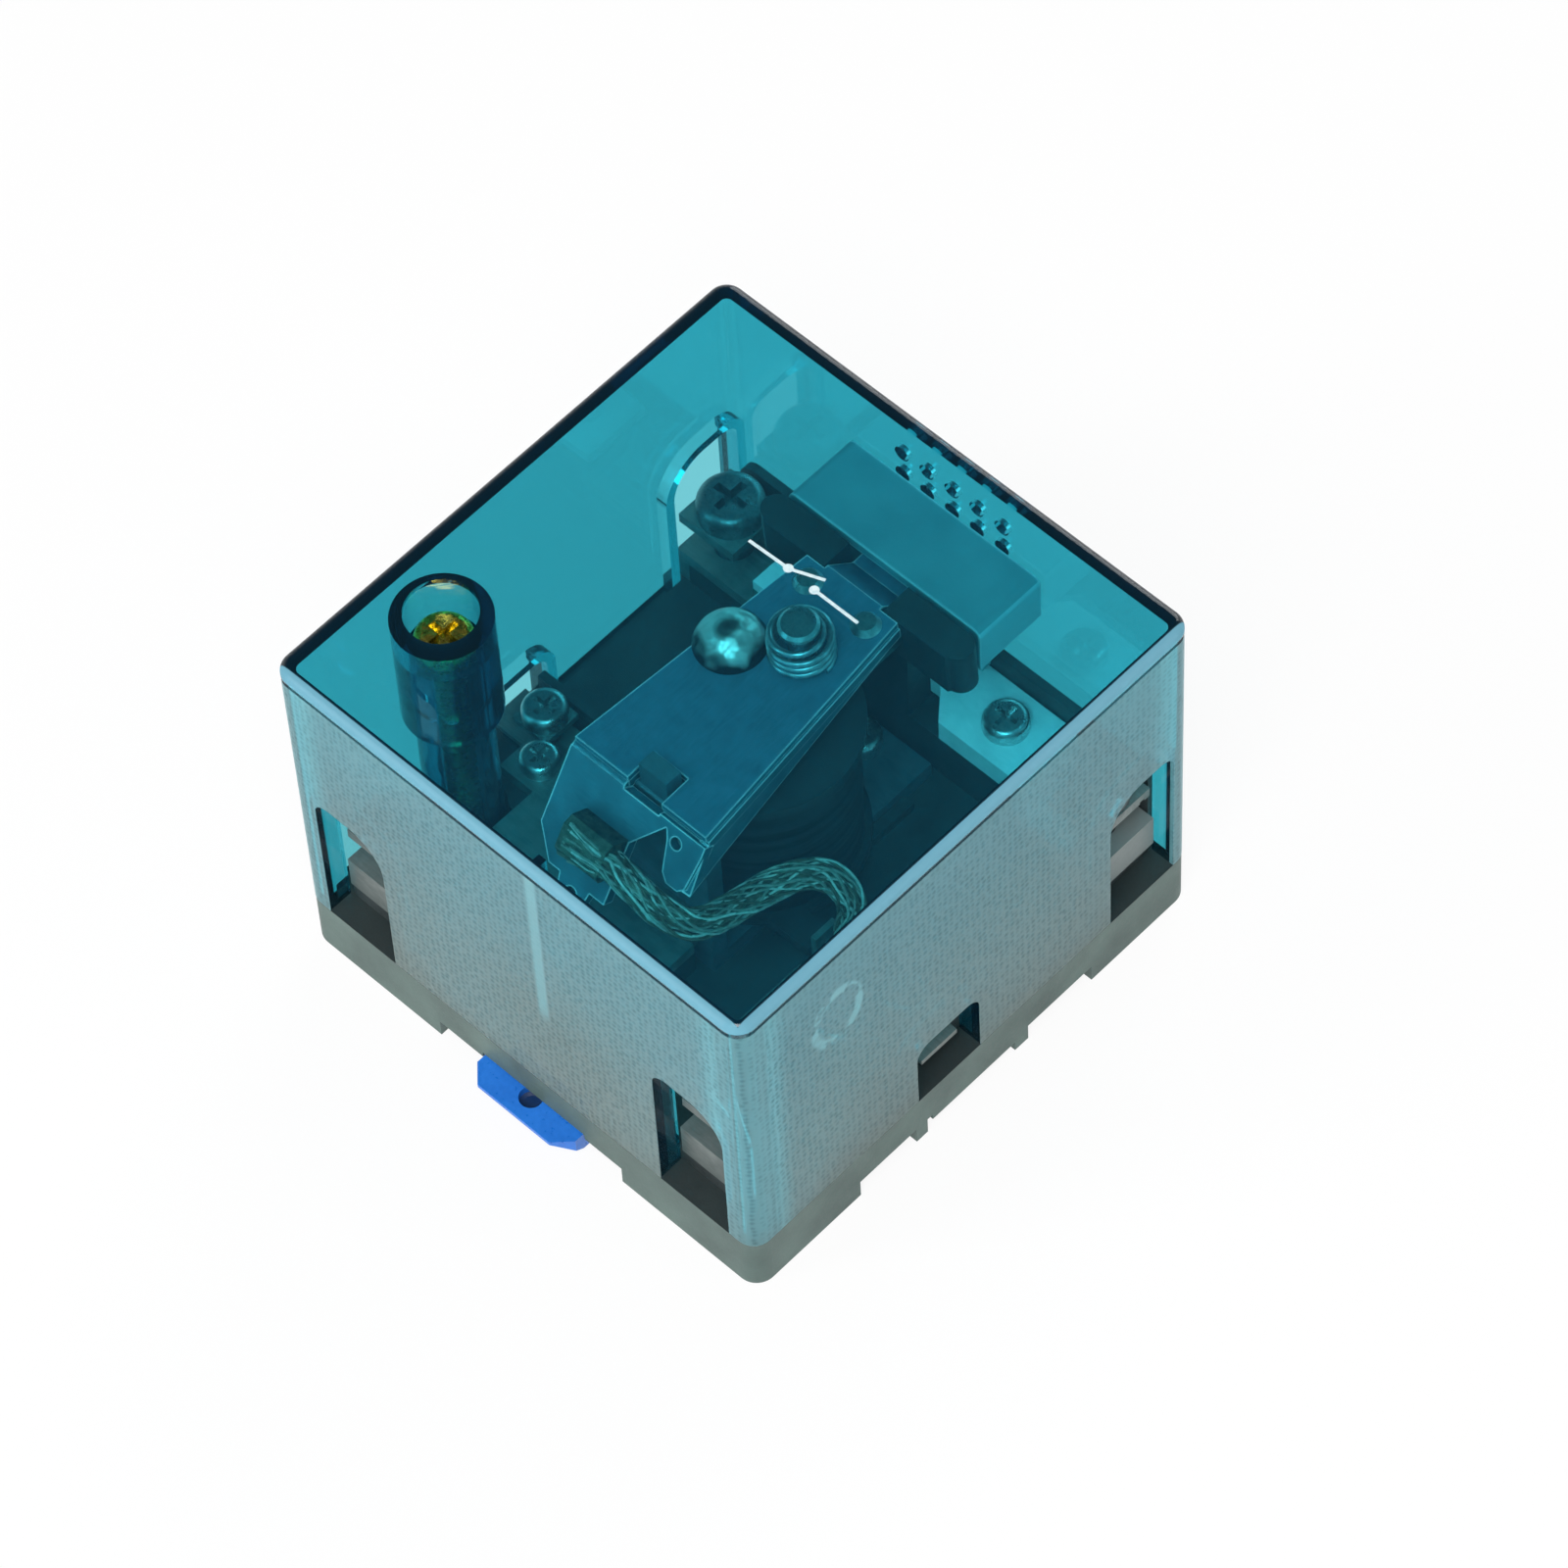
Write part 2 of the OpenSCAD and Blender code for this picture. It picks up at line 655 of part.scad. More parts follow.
// Blue clip that hooks under the rail's near edge
module rail_clip() {
    corner = 2.2;
    nose = 0.6;
    wing = 1 - clip_play / 2;
    wing_low = clip_low + clip_t / 2;
    window_half = 2.4;
    hook_slope = 35;
    clip_top = clip_low + clip_t;
    color("dodgerblue") translate([clip_x, 0, 0]) difference() {
        union() {
            translate([0, 0, clip_low]) linear_extrude(clip_t) polygon([
                [-clip_w / 2 + corner, clip_front], [clip_w / 2 - corner, clip_front],
                [clip_w / 2, clip_front + corner], [clip_w / 2, clip_rear],
                [-clip_w / 2, clip_rear], [-clip_w / 2, clip_front + corner]
            ]);
            translate([-clip_w / 2 - wing, front + 9.2, wing_low])
                cube([clip_w + 2 * wing, 8, clip_top - wing_low]);
        }
        translate([-window_half, clip_window_front, -cut])
            cube([2 * window_half, clip_window_rear - clip_window_front, clip_t + 3 * cut]);
        translate([0, front - 0.4, -cut]) cylinder(r = clip_hole_r, h = clip_t + 3 * cut);
        // Undercut of the part that stands out
        translate([-clip_w / 2 - cut, 0, 0]) rotate([90, 0, 90]) linear_extrude(clip_w + 2 * cut) polygon([
            [clip_front - cut, -cut], [clip_front - cut, clip_top - nose],
            [clip_front, clip_top - nose], [front, clip_low], [front, -cut]
        ]);
        // Step that takes the rail's edge
        translate([-clip_w / 2 - cut, -rail_w / 2, hook_t])
            cube([clip_w + 2 * cut, 4, clip_t + cut]);
        translate([-clip_w / 2 - cut, clip_rear, clip_low]) rotate([-hook_slope, 0, 0])
            translate([0, 0, -4]) cube([clip_w + 2 * cut, 4, 4]);
    }
}

// Small spring that holds the clip in
module clip_spring() {
    wire_d = 0.45;
    spring_d = 2.5;
    turns = 4;
    start = post_y + post_t + wire_d / 2 + 0.02;
    length = clip_window_rear - wire_d / 2 - 0.02 - start;
    color("silver") translate([clip_x, start, clip_low + clip_t / 2]) rotate([-90, 0, 0])
        wire(coil_path((spring_d - wire_d) / 2, length, turns, 9), wire_d / 2, 6);
}

// Screws that join the inner base to the rail base from below
module base_screws() {
    color("silver") for (p = base_screw_places)
        translate([p[0], p[1], base_head_z]) mirror([0, 0, 1])
            pan_screw(base_head_d, 2.1, base_shank_d, base_screw_len);
}

// Seat blocks under the power terminals
module terminal_seats() {
    half = strip_w / 2;
    lip_face_x = strip_out_x - strip_t - 0.05;
    lip_face_y = strip_out_y - strip_t - 0.05;
    for (side = [-1, 1]) mirror([side < 0 ? 1 : 0, 0, 0]) {
        translate([step_x, strip_y - half, floor_z - eps])
            cube([lip_face_x - step_x, 2 * half, seat_z - floor_z + eps]);
        translate([tower_half - eps, strip_y - half, floor_z - eps])
            cube([step_x - strip_t - 0.1 - tower_half, 2 * half, high_z - strip_t - floor_z + eps]);
    }
    translate([-strip_x - half, -lip_face_y, floor_z - eps])
        cube([2 * half, 9.6, seat_h + eps]);
    translate([neck_left, -lip_face_y, floor_z - eps])
        cube([neck_right - neck_left, lip_face_y + cross_rear, seat_z - floor_z + eps]);
    translate([neck_left, cross_front, floor_z - eps])
        cube([cross_end - neck_left, cross_rear - cross_front, seat_z - floor_z + eps]);
    translate([neck_rear_left, cross_rear, floor_z - eps])
        cube([neck_right - neck_rear_left, neck_rear - cross_rear, seat_z - floor_z + eps]);
    translate([strip_x - half, -lip_face_y, floor_z - eps])
        cube([2 * half, 10.6, seat_z - floor_z + eps]);
    translate([landing_left, landing_front, floor_z - eps])
        cube([landing_right - landing_left, landing_rear - landing_front, seat_z - floor_z + eps]);
}

// Black inner base that carries the magnet, the contacts and the terminals
module inner_base() {
    shoulder = 10;
    seat_len = inner_w / 2 - coil_tag_x;
    color("#202426") difference() {
        union() {
            translate([0, (inner_front + inner_rear) / 2, base_h])
                round_block(inner_w, inner_rear - inner_front, floor_t, 1.5);
            terminal_seats();
            // Rear wall, its two ends rounded off at the top
            translate([0, inner_rear, floor_z]) rotate([90, 0, 0]) linear_extrude(barrier_t)
                rounded_section(inner_w - 0.4, rear_wall_top - floor_z, 2.5);
            // Pedestal under the fixed contact
            translate([-tower_half, strip_y - strip_w / 2, floor_z - eps])
                cube([2 * tower_half, strip_w - 1.6, bracket_top - bracket_t - floor_z + eps]);
            // Seats of the coil terminals, each with a barrier behind it
            for (side = [-1, 1]) {
                translate([side * (inner_w / 2 - shoulder / 2) - shoulder / 2,
                    coil_strip_y + coil_strip_w / 2 + 0.4, floor_z - eps])
                    cube([shoulder, barrier_t, 6]);
                translate([side * (inner_w / 2 - seat_len / 2) - seat_len / 2,
                    coil_strip_y - coil_strip_w / 2, floor_z - eps])
                    cube([seat_len, coil_strip_w, coil_seat_z - floor_z + eps]);
            }
            // Low kerb that places the yoke's foot
            for (side = [-1, 1])
                translate([side * (yoke_w / 2 + 1) - 0.8, bobbin_front + 4.8, floor_z - eps])
                    cube([1.6, yoke_screw_y - bobbin_front - 6.4, 1.4]);
        }
        for (p = wire_screw_places)
            translate([p[0], p[1], floor_z - 1]) cylinder(d = term_shank_d + 2 * hole_gap, h = 10);
        for (x = [-rear_screw_x, rear_screw_x])
            translate([x, strip_y, floor_z]) cylinder(d = small_hole_d, h = 20);
        for (p = [left_screw, right_screw])
            translate([p[0], p[1], floor_z - 1]) cylinder(d = small_hole_d, h = 20);
        for (x = [-coil_screw_x, coil_screw_x])
            translate([x, coil_strip_y, base_h + 0.4]) cylinder(d = small_hole_d, h = 20);
        for (p = base_screw_places)
            translate([p[0], p[1], base_h - cut])
                cylinder(d = base_shank_d + 2 * hole_gap, h = cut + floor_t - 0.4);
        translate([0, yoke_screw_y, base_h + 0.4]) cylinder(d = small_hole_d, h = 20);
        translate([tube_x, tube_y, base_h - cut])
            cylinder(d = cover_shank_d + 4 * hole_gap, h = floor_t + 2 * cut);
        // Room for the screw tube's foot
        translate([tube_x, tube_y, floor_z]) cylinder(d = tube_low_d + 4 * gap, h = 20);
    }
}

// L-shaped iron yoke with the tab that keeps the armature in place
module yoke() {
    color("lightsteelblue") difference() {
        union() {
            translate([-yoke_w / 2, yoke_front, floor_z])
                cube([yoke_w, yoke_screw_y + 3.4 - yoke_front, yoke_t]);
            translate([-yoke_w / 2, yoke_front, floor_z]) cube([yoke_w, yoke_t, yoke_h]);
            translate([tab_x - tab_w / 2, yoke_front, yoke_top - eps]) cube([tab_w, yoke_t, 4.4]);
            // Ridge that the armature rocks on
            translate([-yoke_w / 2, hinge_y, hinge_z]) rotate([0, 90, 0]) cylinder(r = pivot_r, h = yoke_w);
        }
        translate([0, coil_y, floor_z - cut]) cylinder(d = core_d - 2 + 2 * hole_gap, h = yoke_t + 2 * cut);
        translate([0, yoke_screw_y, floor_z - cut]) cylinder(d = small_hole_d, h = yoke_t + 2 * cut);
        for (x = [-frame_rivet_x, frame_rivet_x])
            translate([x, yoke_front - cut, frame_rivet_z]) rotate([-90, 0, 0])
                cylinder(r = rivet_hole_r, h = yoke_t + 2 * cut);
    }
}

// Screw that holds the yoke's foot
module yoke_screw() {
    color("silver") translate([0, yoke_screw_y, floor_z + yoke_t])
        pan_screw(5.6, 2.2, small_shank_d, yoke_t + 2);
}

// Rivets that join the frame strip's tab to the yoke
module yoke_rivets() {
    head_h = 0.9;
    tail_h = 0.5;
    color("silver") for (x = [-frame_rivet_x, frame_rivet_x])
        translate([x, yoke_front - tab_t, frame_rivet_z]) rotate([-90, 0, 0]) {
            translate([0, 0, -head_h]) cylinder(r = rivet_r, h = head_h + tab_t + yoke_t + tail_h);
            translate([0, 0, -head_h]) cylinder(d1 = 2.8, d2 = 3.8, h = head_h);
            translate([0, 0, tab_t + yoke_t]) cylinder(d1 = 3.2, d2 = 2.4, h = tail_h);
        }
}

// Iron core, riveted into the yoke's foot, with its pole on top
module core() {
    color("lightsteelblue") translate([0, coil_y, 0]) {
        translate([0, 0, floor_z]) cylinder(d = core_d - 2, h = yoke_t + 1);
        translate([0, 0, floor_z + yoke_t]) cylinder(d = core_d, h = yoke_h - yoke_t - pole_h + eps);
        translate([0, 0, yoke_top - pole_h]) rotate_extrude() polygon([
            [0, 0], [pole_d / 2, 0], [pole_d / 2, pole_h - 0.4], [pole_d / 2 - 0.4, pole_h], [0, pole_h]
        ]);
    }
}

// Coil former with its two terminal lugs
module bobbin() {
    lug_x = 16.2;
    color("#2b2f33") translate([0, coil_y, 0]) difference() {
        union() {
            for (z = [bobbin_low, bobbin_top - flange_t])
                translate([0, 0, z]) cylinder(d = bobbin_d, h = flange_t);
            translate([0, 0, bobbin_low]) cylinder(d = core_d + 2.4, h = bobbin_top - bobbin_low);
            for (side = [-1, 1])
                translate([side > 0 ? 9 : -lug_x, coil_strip_y - coil_y - 2, bobbin_low])
                    cube([lug_x - 9, 4, flange_t]);
        }
        translate([0, 0, bobbin_low - cut])
            cylinder(d = core_d + 2 * hole_gap, h = bobbin_top - bobbin_low + 2 * cut);
        // Flat that clears the yoke's limb
        translate([-bobbin_d / 2, -bobbin_d - coil_y + yoke_front + yoke_t + 0.3, bobbin_low - cut])
            cube([bobbin_d, bobbin_d, bobbin_top - bobbin_low + 2 * cut]);
    }
}

// Taped winding
module winding() {
    color("#17191b") translate([0, coil_y, bobbin_low + flange_t + 0.02]) difference() {
        cylinder(d = winding_d, h = bobbin_top - bobbin_low - 2 * flange_t - 0.04);
        translate([0, 0, -cut]) cylinder(d = core_d + 2.5, h = yoke_h + 2 * cut);
    }
}

// Outline of the armature's plate, inset by a margin
module plate_outline(margin) {
    difference() {
        polygon([
            [-armature_w / 2 + margin, fold_y + margin],
            [armature_w / 2 - margin, fold_y + margin],
            [armature_end_w / 2 - margin, plate_rear],
            [-armature_end_w / 2 + margin, plate_rear]
        ]);
        translate([tab_x - tab_w / 2 - tab_room, fold_y - cut])
            square([tab_w + 2 * tab_room, hinge_front + cut + yoke_t + 0.7]);
    }
}

// Everything on the armature is drawn closed and turned up to its rest
module swung() {
    translate([0, hinge_y, hinge_z]) rotate([armature_swing, 0, 0])
        translate([0, -hinge_y, -hinge_z]) children();
}

// Leg's own plane: v runs down the slope from the fold
module on_leg() {
    translate([0, fold_y, plate_top]) rotate([leg_slope, 0, 0]) children();
}

// Point beside the leg: how far down its slope from the fold, and how deep below its outer face
function beside_leg(down, deep) = [
    deep * sin(leg_slope) - down * cos(leg_slope),
    plate_top - down * sin(leg_slope) - deep * cos(leg_slope)
];

// Iron armature: tapered plate, sloping leg with its cut-out and tongue, and the side flange
module armature() {
    taper = atan((armature_w - armature_end_w) / 2 / (plate_rear - fold_y));
    flange_len = (plate_rear - fold_y) / cos(taper) - 2;
    flange_w = 1.2;
    tongue_low = 7.4;
    hole_left = tab_x - tab_w / 2 - tab_room;
    hole_right = tab_x + tab_w / 2 + tab_room;
    color("lightsteelblue") swung() difference() {
        union() {
            translate([0, 0, hinge_z]) linear_extrude(armature_t) difference() {
                plate_outline(0);
                translate([-armature_w, fold_y - cut]) square([2 * armature_w, cut + bend_in]);
                for (p = [dome_place, stud_place]) translate(p) circle(r = stem_hole_r);
                for (p = rivet_places) translate(p) circle(r = rivet_hole_r);
            }
            on_leg() translate([0, 0, -armature_t]) linear_extrude(armature_t) difference() {
                polygon([
                    [-armature_w / 2, -bend_in], [-armature_w / 2, -leg_len + 4],
                    [-armature_w / 2 + 3, -leg_len],
                    [spring_x - 2.4, -leg_len], [spring_x - 1.8, -tab_hole_v - 1.6],
                    [spring_x + 1.8, -tab_hole_v - 1.6], [spring_x + 2.4, -leg_len], [1.2, -leg_len],
                    [1.2, -6.4], [5, -1.4], [5.6, -2.6], [6.6, -6.6], [7.6, -tongue_low - 0.2],
                    [9.4, -tongue_low - 0.2], [10.2, -6.8], [armature_w / 2, -2], [armature_w / 2, -bend_in]
                ]);
                translate([hole_left - 0.1, -0.8]) square([hole_right - hole_left + 0.2, 2]);
                translate([spring_x, -tab_hole_v]) circle(r = 0.9);
                translate([6.9, -2.4]) circle(r = 0.8);
            }
            // Round bend between the plate and the leg
            for (x = [[-armature_w / 2, hole_left], [hole_right, armature_w / 2]])
                translate([x[0] + 0.1, fold_y + bend_in, plate_top - armature_t / 2])
                    rotate([0, 90, 0]) cylinder(r = armature_t / 2 - 2 * eps, h = x[1] - x[0] - 0.2);
            // Stiffening flange along the right edge
            translate([armature_w / 2, fold_y, 0]) rotate(taper) translate([-flange_w - 0.06, 0, 0])
                rotate([90, 0, 90]) linear_extrude(flange_w) polygon([
                    beside_leg(tongue_low, 0.5), beside_leg(0.5, 0.5), [1, plate_top - 0.3],
                    [flange_len, hinge_z + 0.4], [flange_len, hinge_z - 0.1], [2, hinge_z - 3.9]
                ]);
        }
        // Groove that rocks on the yoke's ridge
        translate([-yoke_w / 2 - 2 * gap, hinge_y, hinge_z]) rotate([0, 90, 0])
            cylinder(r = pivot_r + pivot_gap, h = yoke_w + 4 * gap);
    }
}

// Copper blade on the armature, stepped down to the contacts
module contact_blade() {
    blade_rear = contact_y + contact_d / 2 + 0.6;
    half = 4.4;
    drop_end = plate_rear + blade_drop;
    color("peru") swung() difference() {
        union() {
            translate([0, 0, plate_top]) linear_extrude(blade_t) plate_outline(0.3);
            translate([-half, 0, 0]) rotate([90, 0, 90]) linear_extrude(2 * half) polygon([
                [plate_rear - 0.5, plate_top], [plate_rear + 0.1, plate_top], [drop_end, low_blade_z],
                [blade_rear, low_blade_z], [blade_rear, low_blade_z + blade_t],
                [drop_end + 0.4, low_blade_z + blade_t], [plate_rear + 0.5, blade_top],
                [plate_rear - 0.5, blade_top]
            ]);
        }
        for (p = [dome_place, stud_place])
            translate([p[0], p[1], plate_top - cut]) cylinder(r = stem_hole_r, h = blade_t + 2 * cut);
        for (p = rivet_places)
            translate([p[0], p[1], plate_top - cut]) cylinder(r = rivet_hole_r, h = blade_t + 2 * cut);
        translate([0, contact_y, low_blade_z - cut]) cylinder(r = stem_hole_r, h = blade_t + 2 * cut);
    }
}

// Domed rivet on the blade
module dome_rivet() {
    ball_r = (dome_d * dome_d / 4 + dome_h * dome_h) / (2 * dome_h);
    color("white") swung() translate([dome_place[0], dome_place[1], 0]) {
        translate([0, 0, hinge_z]) cylinder(r = stem_r, h = armature_t + blade_t + eps);
        translate([0, 0, blade_top]) rotate_extrude() intersection() {
            translate([0, dome_h - ball_r]) circle(r = ball_r);
            square([dome_d, dome_h]);
        }
    }
}

// Stud with its cap, which keeps the pressure spring on the blade
module pressure_stud() {
    cap_r = 2.5;
    cap_t = 0.9;
    color("silver") swung() translate([stud_place[0], stud_place[1], 0]) {
        translate([0, 0, hinge_z]) cylinder(r = stem_r, h = armature_t + blade_t + press_spring_h + eps);
        translate([0, 0, blade_top + press_spring_h]) rotate_extrude() polygon([
            [0, 0], [cap_r, 0], [cap_r, cap_t - 0.4], [cap_r - 0.4, cap_t], [0, cap_t]
        ]);
    }
}

// Spring between the blade and the stud's cap, its last turn drawn in under the cap
module pressure_spring() {
    r = press_wire_d / 2;
    low_r = press_spring_d / 2 - r;
    top_r = stem_r + 0.15 + r;
    steps = 14;
    count = press_turns * steps;
    rise = press_spring_h - 2 * r - 0.04;
    path = [
        for (i = [0 : count])
            let (a = i * 360 / steps, far = low_r + (top_r - low_r) * max(0, i - count + steps) / steps)
            [far * cos(a), far * sin(a), rise * i / count]
    ];
    color("silver") swung() translate([stud_place[0], stud_place[1], blade_top + r + 0.02]) wire(path, r, 8);
}

// Insulating bar at the armature's far end
module carrier() {
    end_r = 2;
    shelf_front = plate_rear - 5.4;
    slot_half = 4.7;
    depth = carrier_back - carrier_front;
    color("#1b1e20") swung() difference() {
        union() {
            translate([0, 0, carrier_low]) linear_extrude(carrier_top - carrier_low) {
                polygon([
                    [-carrier_half + 2, carrier_front], [carrier_half - 2, carrier_front],
                    [carrier_half, carrier_back - end_r], [carrier_half - end_r, carrier_back],
                    [-carrier_half + end_r, carrier_back], [-carrier_half, carrier_back - end_r]
                ]);
                for (x = [-1, 1])
                    translate([x * (carrier_half - end_r), carrier_back - end_r]) circle(r = end_r);
            }
            translate([-armature_end_w / 2, shelf_front, hinge_z - shelf_t])
                cube([armature_end_w, carrier_back - shelf_front - 1, shelf_t - 0.05]);
        }
        translate([-slot_half, carrier_front - cut, low_blade_z - 0.4])
            cube([2 * slot_half, depth + 2 * cut, carrier_top - low_blade_z + 0.4 + cut]);
        for (p = rivet_places)
            translate([p[0], p[1], hinge_z - shelf_t - cut])
                cylinder(r = rivet_hole_r, h = shelf_t + 2 * cut);
    }
}

// Rivets through the carrier's shelf, the armature and the blade
module carrier_rivets() {
    head_h = 0.8;
    tail_h = 0.4;
    grip = shelf_t + armature_t + blade_t;
    color("silver") swung() for (p = rivet_places)
        translate([p[0], p[1], hinge_z - shelf_t]) {
            translate([0, 0, -tail_h]) cylinder(r = rivet_r, h = tail_h + grip + head_h);
            translate([0, 0, grip]) cylinder(r1 = 1.9, r2 = 1.3, h = head_h);
            translate([0, 0, -tail_h]) cylinder(r1 = 1.3, r2 = 1.6, h = tail_h);
        }
}

// Round contact with its rivet stem, face at z = 0 and stem upwards
module contact_button(stem) {
    rotate_extrude() polygon([
        [0, 0], [contact_d / 2 - 0.5, 0], [contact_d / 2, 0.4], [contact_d / 2, contact_t],
        [stem_r, contact_t], [stem_r, contact_t + stem], [0, contact_t + stem]
    ]);
}

module moving_contact() {
    color("gainsboro") swung()
        translate([0, contact_y, low_blade_z - contact_t]) contact_button(blade_t);
}

module fixed_contact() {
    color("gainsboro") translate([0, contact_y, fixed_top]) mirror([0, 0, 1]) contact_button(bracket_t);
}

// Plan of the rear strips' high end and of the bracket's feet, chamfered at the inner corner
module foot_outline(end_x) {
    inner_x = bracket_riser_x + bracket_t;
    half = strip_w / 2;
    polygon([
        [inner_x - eps, strip_y + half], [inner_x - eps, strip_y - half + 3.5],
        [inner_x + 2.9, strip_y - half], [end_x, strip_y - half], [end_x, strip_y + half]
    ]);
}

// Bracket that carries the fixed contact, one foot screwed to each rear terminal
module contact_bracket() {
    foot_end = step_x - gap;
    low_y = strip_y - strip_w / 2 + 3.5;
    depth = 5.2;
    outer_x = bracket_riser_x + bracket_t;
    bend = 1;
    color("lightsteelblue") difference() {
        union() {
            translate([0, low_y + depth, 0]) rotate([90, 0, 0]) linear_extrude(depth) polygon([
                [-outer_x, high_z], [-outer_x, bracket_top - bend], [-outer_x + bend, bracket_top],
                [outer_x - bend, bracket_top], [outer_x, bracket_top - bend], [outer_x, high_z],
                [bracket_riser_x, high_z], [bracket_riser_x, bracket_top - bracket_t],
                [-bracket_riser_x, bracket_top - bracket_t], [-bracket_riser_x, high_z]
            ]);
            translate([-3.4, strip_y - strip_w / 2 + 1.2, bracket_top - bracket_t])
                cube([6.8, 3, bracket_t]);
            for (side = [0, 1]) mirror([side, 0, 0])
                translate([0, 0, high_z]) linear_extrude(bracket_t) foot_outline(foot_end);
        }
        translate([0, contact_y, bracket_top - bracket_t - cut])
            cylinder(r = stem_hole_r, h = bracket_t + 2 * cut);
        for (side = [-1, 1])
            translate([side * rear_screw_x, strip_y, high_z - cut])
                cylinder(d = small_hole_d, h = bracket_t + 2 * cut);
    }
}

// Moulded hood over the contacts, open to the front and below, on a leg against the rear wall
module arc_hood() {
    leg_half = 8;
    leg_foot_z = high_z + bracket_t + 0.2;
    stop_z = hinge_z + 1.2;
    edge = 1.2;
    wall_face = inner_rear - barrier_t;
    depth = inner_rear - hood_front;
    color("#1d5a6b") difference() {
        union() {
            translate([0, inner_rear, hood_low]) rotate([90, 0, 0]) linear_extrude(depth)
                rounded_section(2 * hood_half, hood_top - hood_low, edge);
            translate([-leg_half, wall_face - hood_wall, leg_foot_z])
                cube([2 * leg_half, hood_wall, hood_low - leg_foot_z + eps]);
            translate([-leg_half, wall_face - hood_wall, rear_wall_top])
                cube([2 * leg_half, hood_wall + barrier_t, hood_low - rear_wall_top + eps]);
        }
        difference() {
            translate([-hood_half + hood_wall, hood_front - cut, hood_low - cut])
                cube([2 * (hood_half - hood_wall), wall_face - hood_wall - hood_front + cut,
                    hood_top - hood_low - hood_wall + cut]);
            // Rib that stops the blade when the armature is open
            translate([-3, contact_y + 1.4, stop_z]) cube([6, 1.4, hood_top - stop_z]);
        }
    }
}

// Lip and plate of a power strip at its wire end, in the Y direction
module wire_end(length) {
    translate([-strip_w / 2, 0, seat_z]) cube([strip_w, length, strip_t]);
    translate([-strip_w / 2, 0, strip_z - lip_drop]) cube([strip_w, strip_t, lip_drop]);
}

// Frame strip: wire end, neck past the screw tube, cross part and tab up to the yoke
module terminal_front_left() {
    tab_half = 6;
    bend_y = cross_rear + 2.6;
    color("silver") difference() {
        union() {
            translate([-strip_x, -strip_out_y, 0]) wire_end(10.2);
            translate([neck_left, -strip_out_y, seat_z])
                cube([neck_right - neck_left, strip_out_y + neck_rear, strip_t]);
            translate([neck_rear_left + gap, bend_y, seat_z])
                cube([neck_right - neck_rear_left - gap, neck_rear - bend_y, strip_t]);
            translate([neck_left, cross_front, seat_z])
                cube([cross_end - neck_left, cross_rear - cross_front, strip_t]);
            translate([-tab_half, yoke_front - tab_t, seat_z]) cube([2 * tab_half, tab_t, strip_t + 5.4]);
            translate([-tab_half, cross_rear - eps, seat_z])
                cube([2 * tab_half, yoke_front - cross_rear, strip_t]);
        }
        translate([tube_x, tube_y, seat_z - cut]) cylinder(d = tube_low_d + 4 * gap, h = strip_t + 2 * cut);
        translate([-strip_x, wire_screw_places[0][1], seat_z - cut])
            cylinder(d = term_shank_d + 2 * hole_gap, h = strip_t + 2 * cut);
        translate([left_screw[0], left_screw[1], seat_z - cut])
            cylinder(d = small_hole_d, h = strip_t + 2 * cut);
        for (x = [-frame_rivet_x, frame_rivet_x])
            translate([x, yoke_front - tab_t - cut, frame_rivet_z]) rotate([-90, 0, 0])
                cylinder(r = rivet_hole_r, h = tab_t + cut + eps);
    }
}

// Lead strip: wire end and the landing for the braided lead
module terminal_front_right() {
    color("silver") difference() {
        union() {
            translate([strip_x, -strip_out_y, 0]) wire_end(10.6);
            translate([landing_left, landing_front, seat_z])
                cube([landing_right - landing_left, landing_rear - landing_front, strip_t]);
        }
        translate([strip_x, wire_screw_places[1][1], seat_z - cut])
            cylinder(d = term_shank_d + 2 * hole_gap, h = strip_t + 2 * cut);
        translate([right_screw[0], right_screw[1], seat_z - cut])
            cylinder(d = small_hole_d, h = strip_t + 2 * cut);
    }
}

// Rear strip: low wire end, riser and chamfered high end
module rear_strip() {
    half = strip_w / 2;
    color("silver") difference() {
        union() {
            translate([step_x - strip_t, strip_y - half, seat_z])
                cube([wire_end_len + strip_t, 2 * half, strip_t]);
            translate([strip_out_x - strip_t, strip_y - half, strip_z - lip_drop])
                cube([strip_t, 2 * half, lip_drop]);
            translate([step_x - strip_t, strip_y - half, seat_z]) cube([strip_t, 2 * half, high_z - seat_z]);
            translate([0, 0, high_z - strip_t]) linear_extrude(strip_t) foot_outline(step_x - eps);
        }
        translate([wire_screw_places[3][0], strip_y, seat_z - cut])
            cylinder(d = term_shank_d + 2 * hole_gap, h = strip_t + 2 * cut);
        translate([rear_screw_x, strip_y, high_z - strip_t - cut])
            cylinder(d = small_hole_d, h = strip_t + 2 * cut);
    }
}

module terminal_rear_right() {
    rear_strip();
}

module terminal_rear_left() {
    mirror([1, 0, 0]) rear_strip();
}

// Four power terminal screws, backed out as delivered
module terminal_screws() {
    color("gainsboro") for (p = wire_screw_places)
        translate([p[0], p[1], term_head_z])
            pan_screw(term_head_d, term_head_h, term_shank_d, term_head_z - floor_z + 0.6);
}

// Four square clamp plates, held up under the screw heads
module clamp_plates() {
    color("silver") for (p = wire_screw_places)
        translate([p[0], p[1], clamp_z]) difference() {
            translate([-clamp_side / 2, -clamp_side / 2, 0]) cube([clamp_side, clamp_side, clamp_t]);
            translate([0, 0, -cut]) cylinder(d = term_shank_d + 2 * hole_gap, h = clamp_t + 2 * cut);
            // Grip grooves on the underside
            for (y = [-3.2, 3.2]) translate([-clamp_side / 2 - cut, y - 0.4, -cut])
                cube([clamp_side + 2 * cut, 0.8, cut + 0.4]);
        }
}

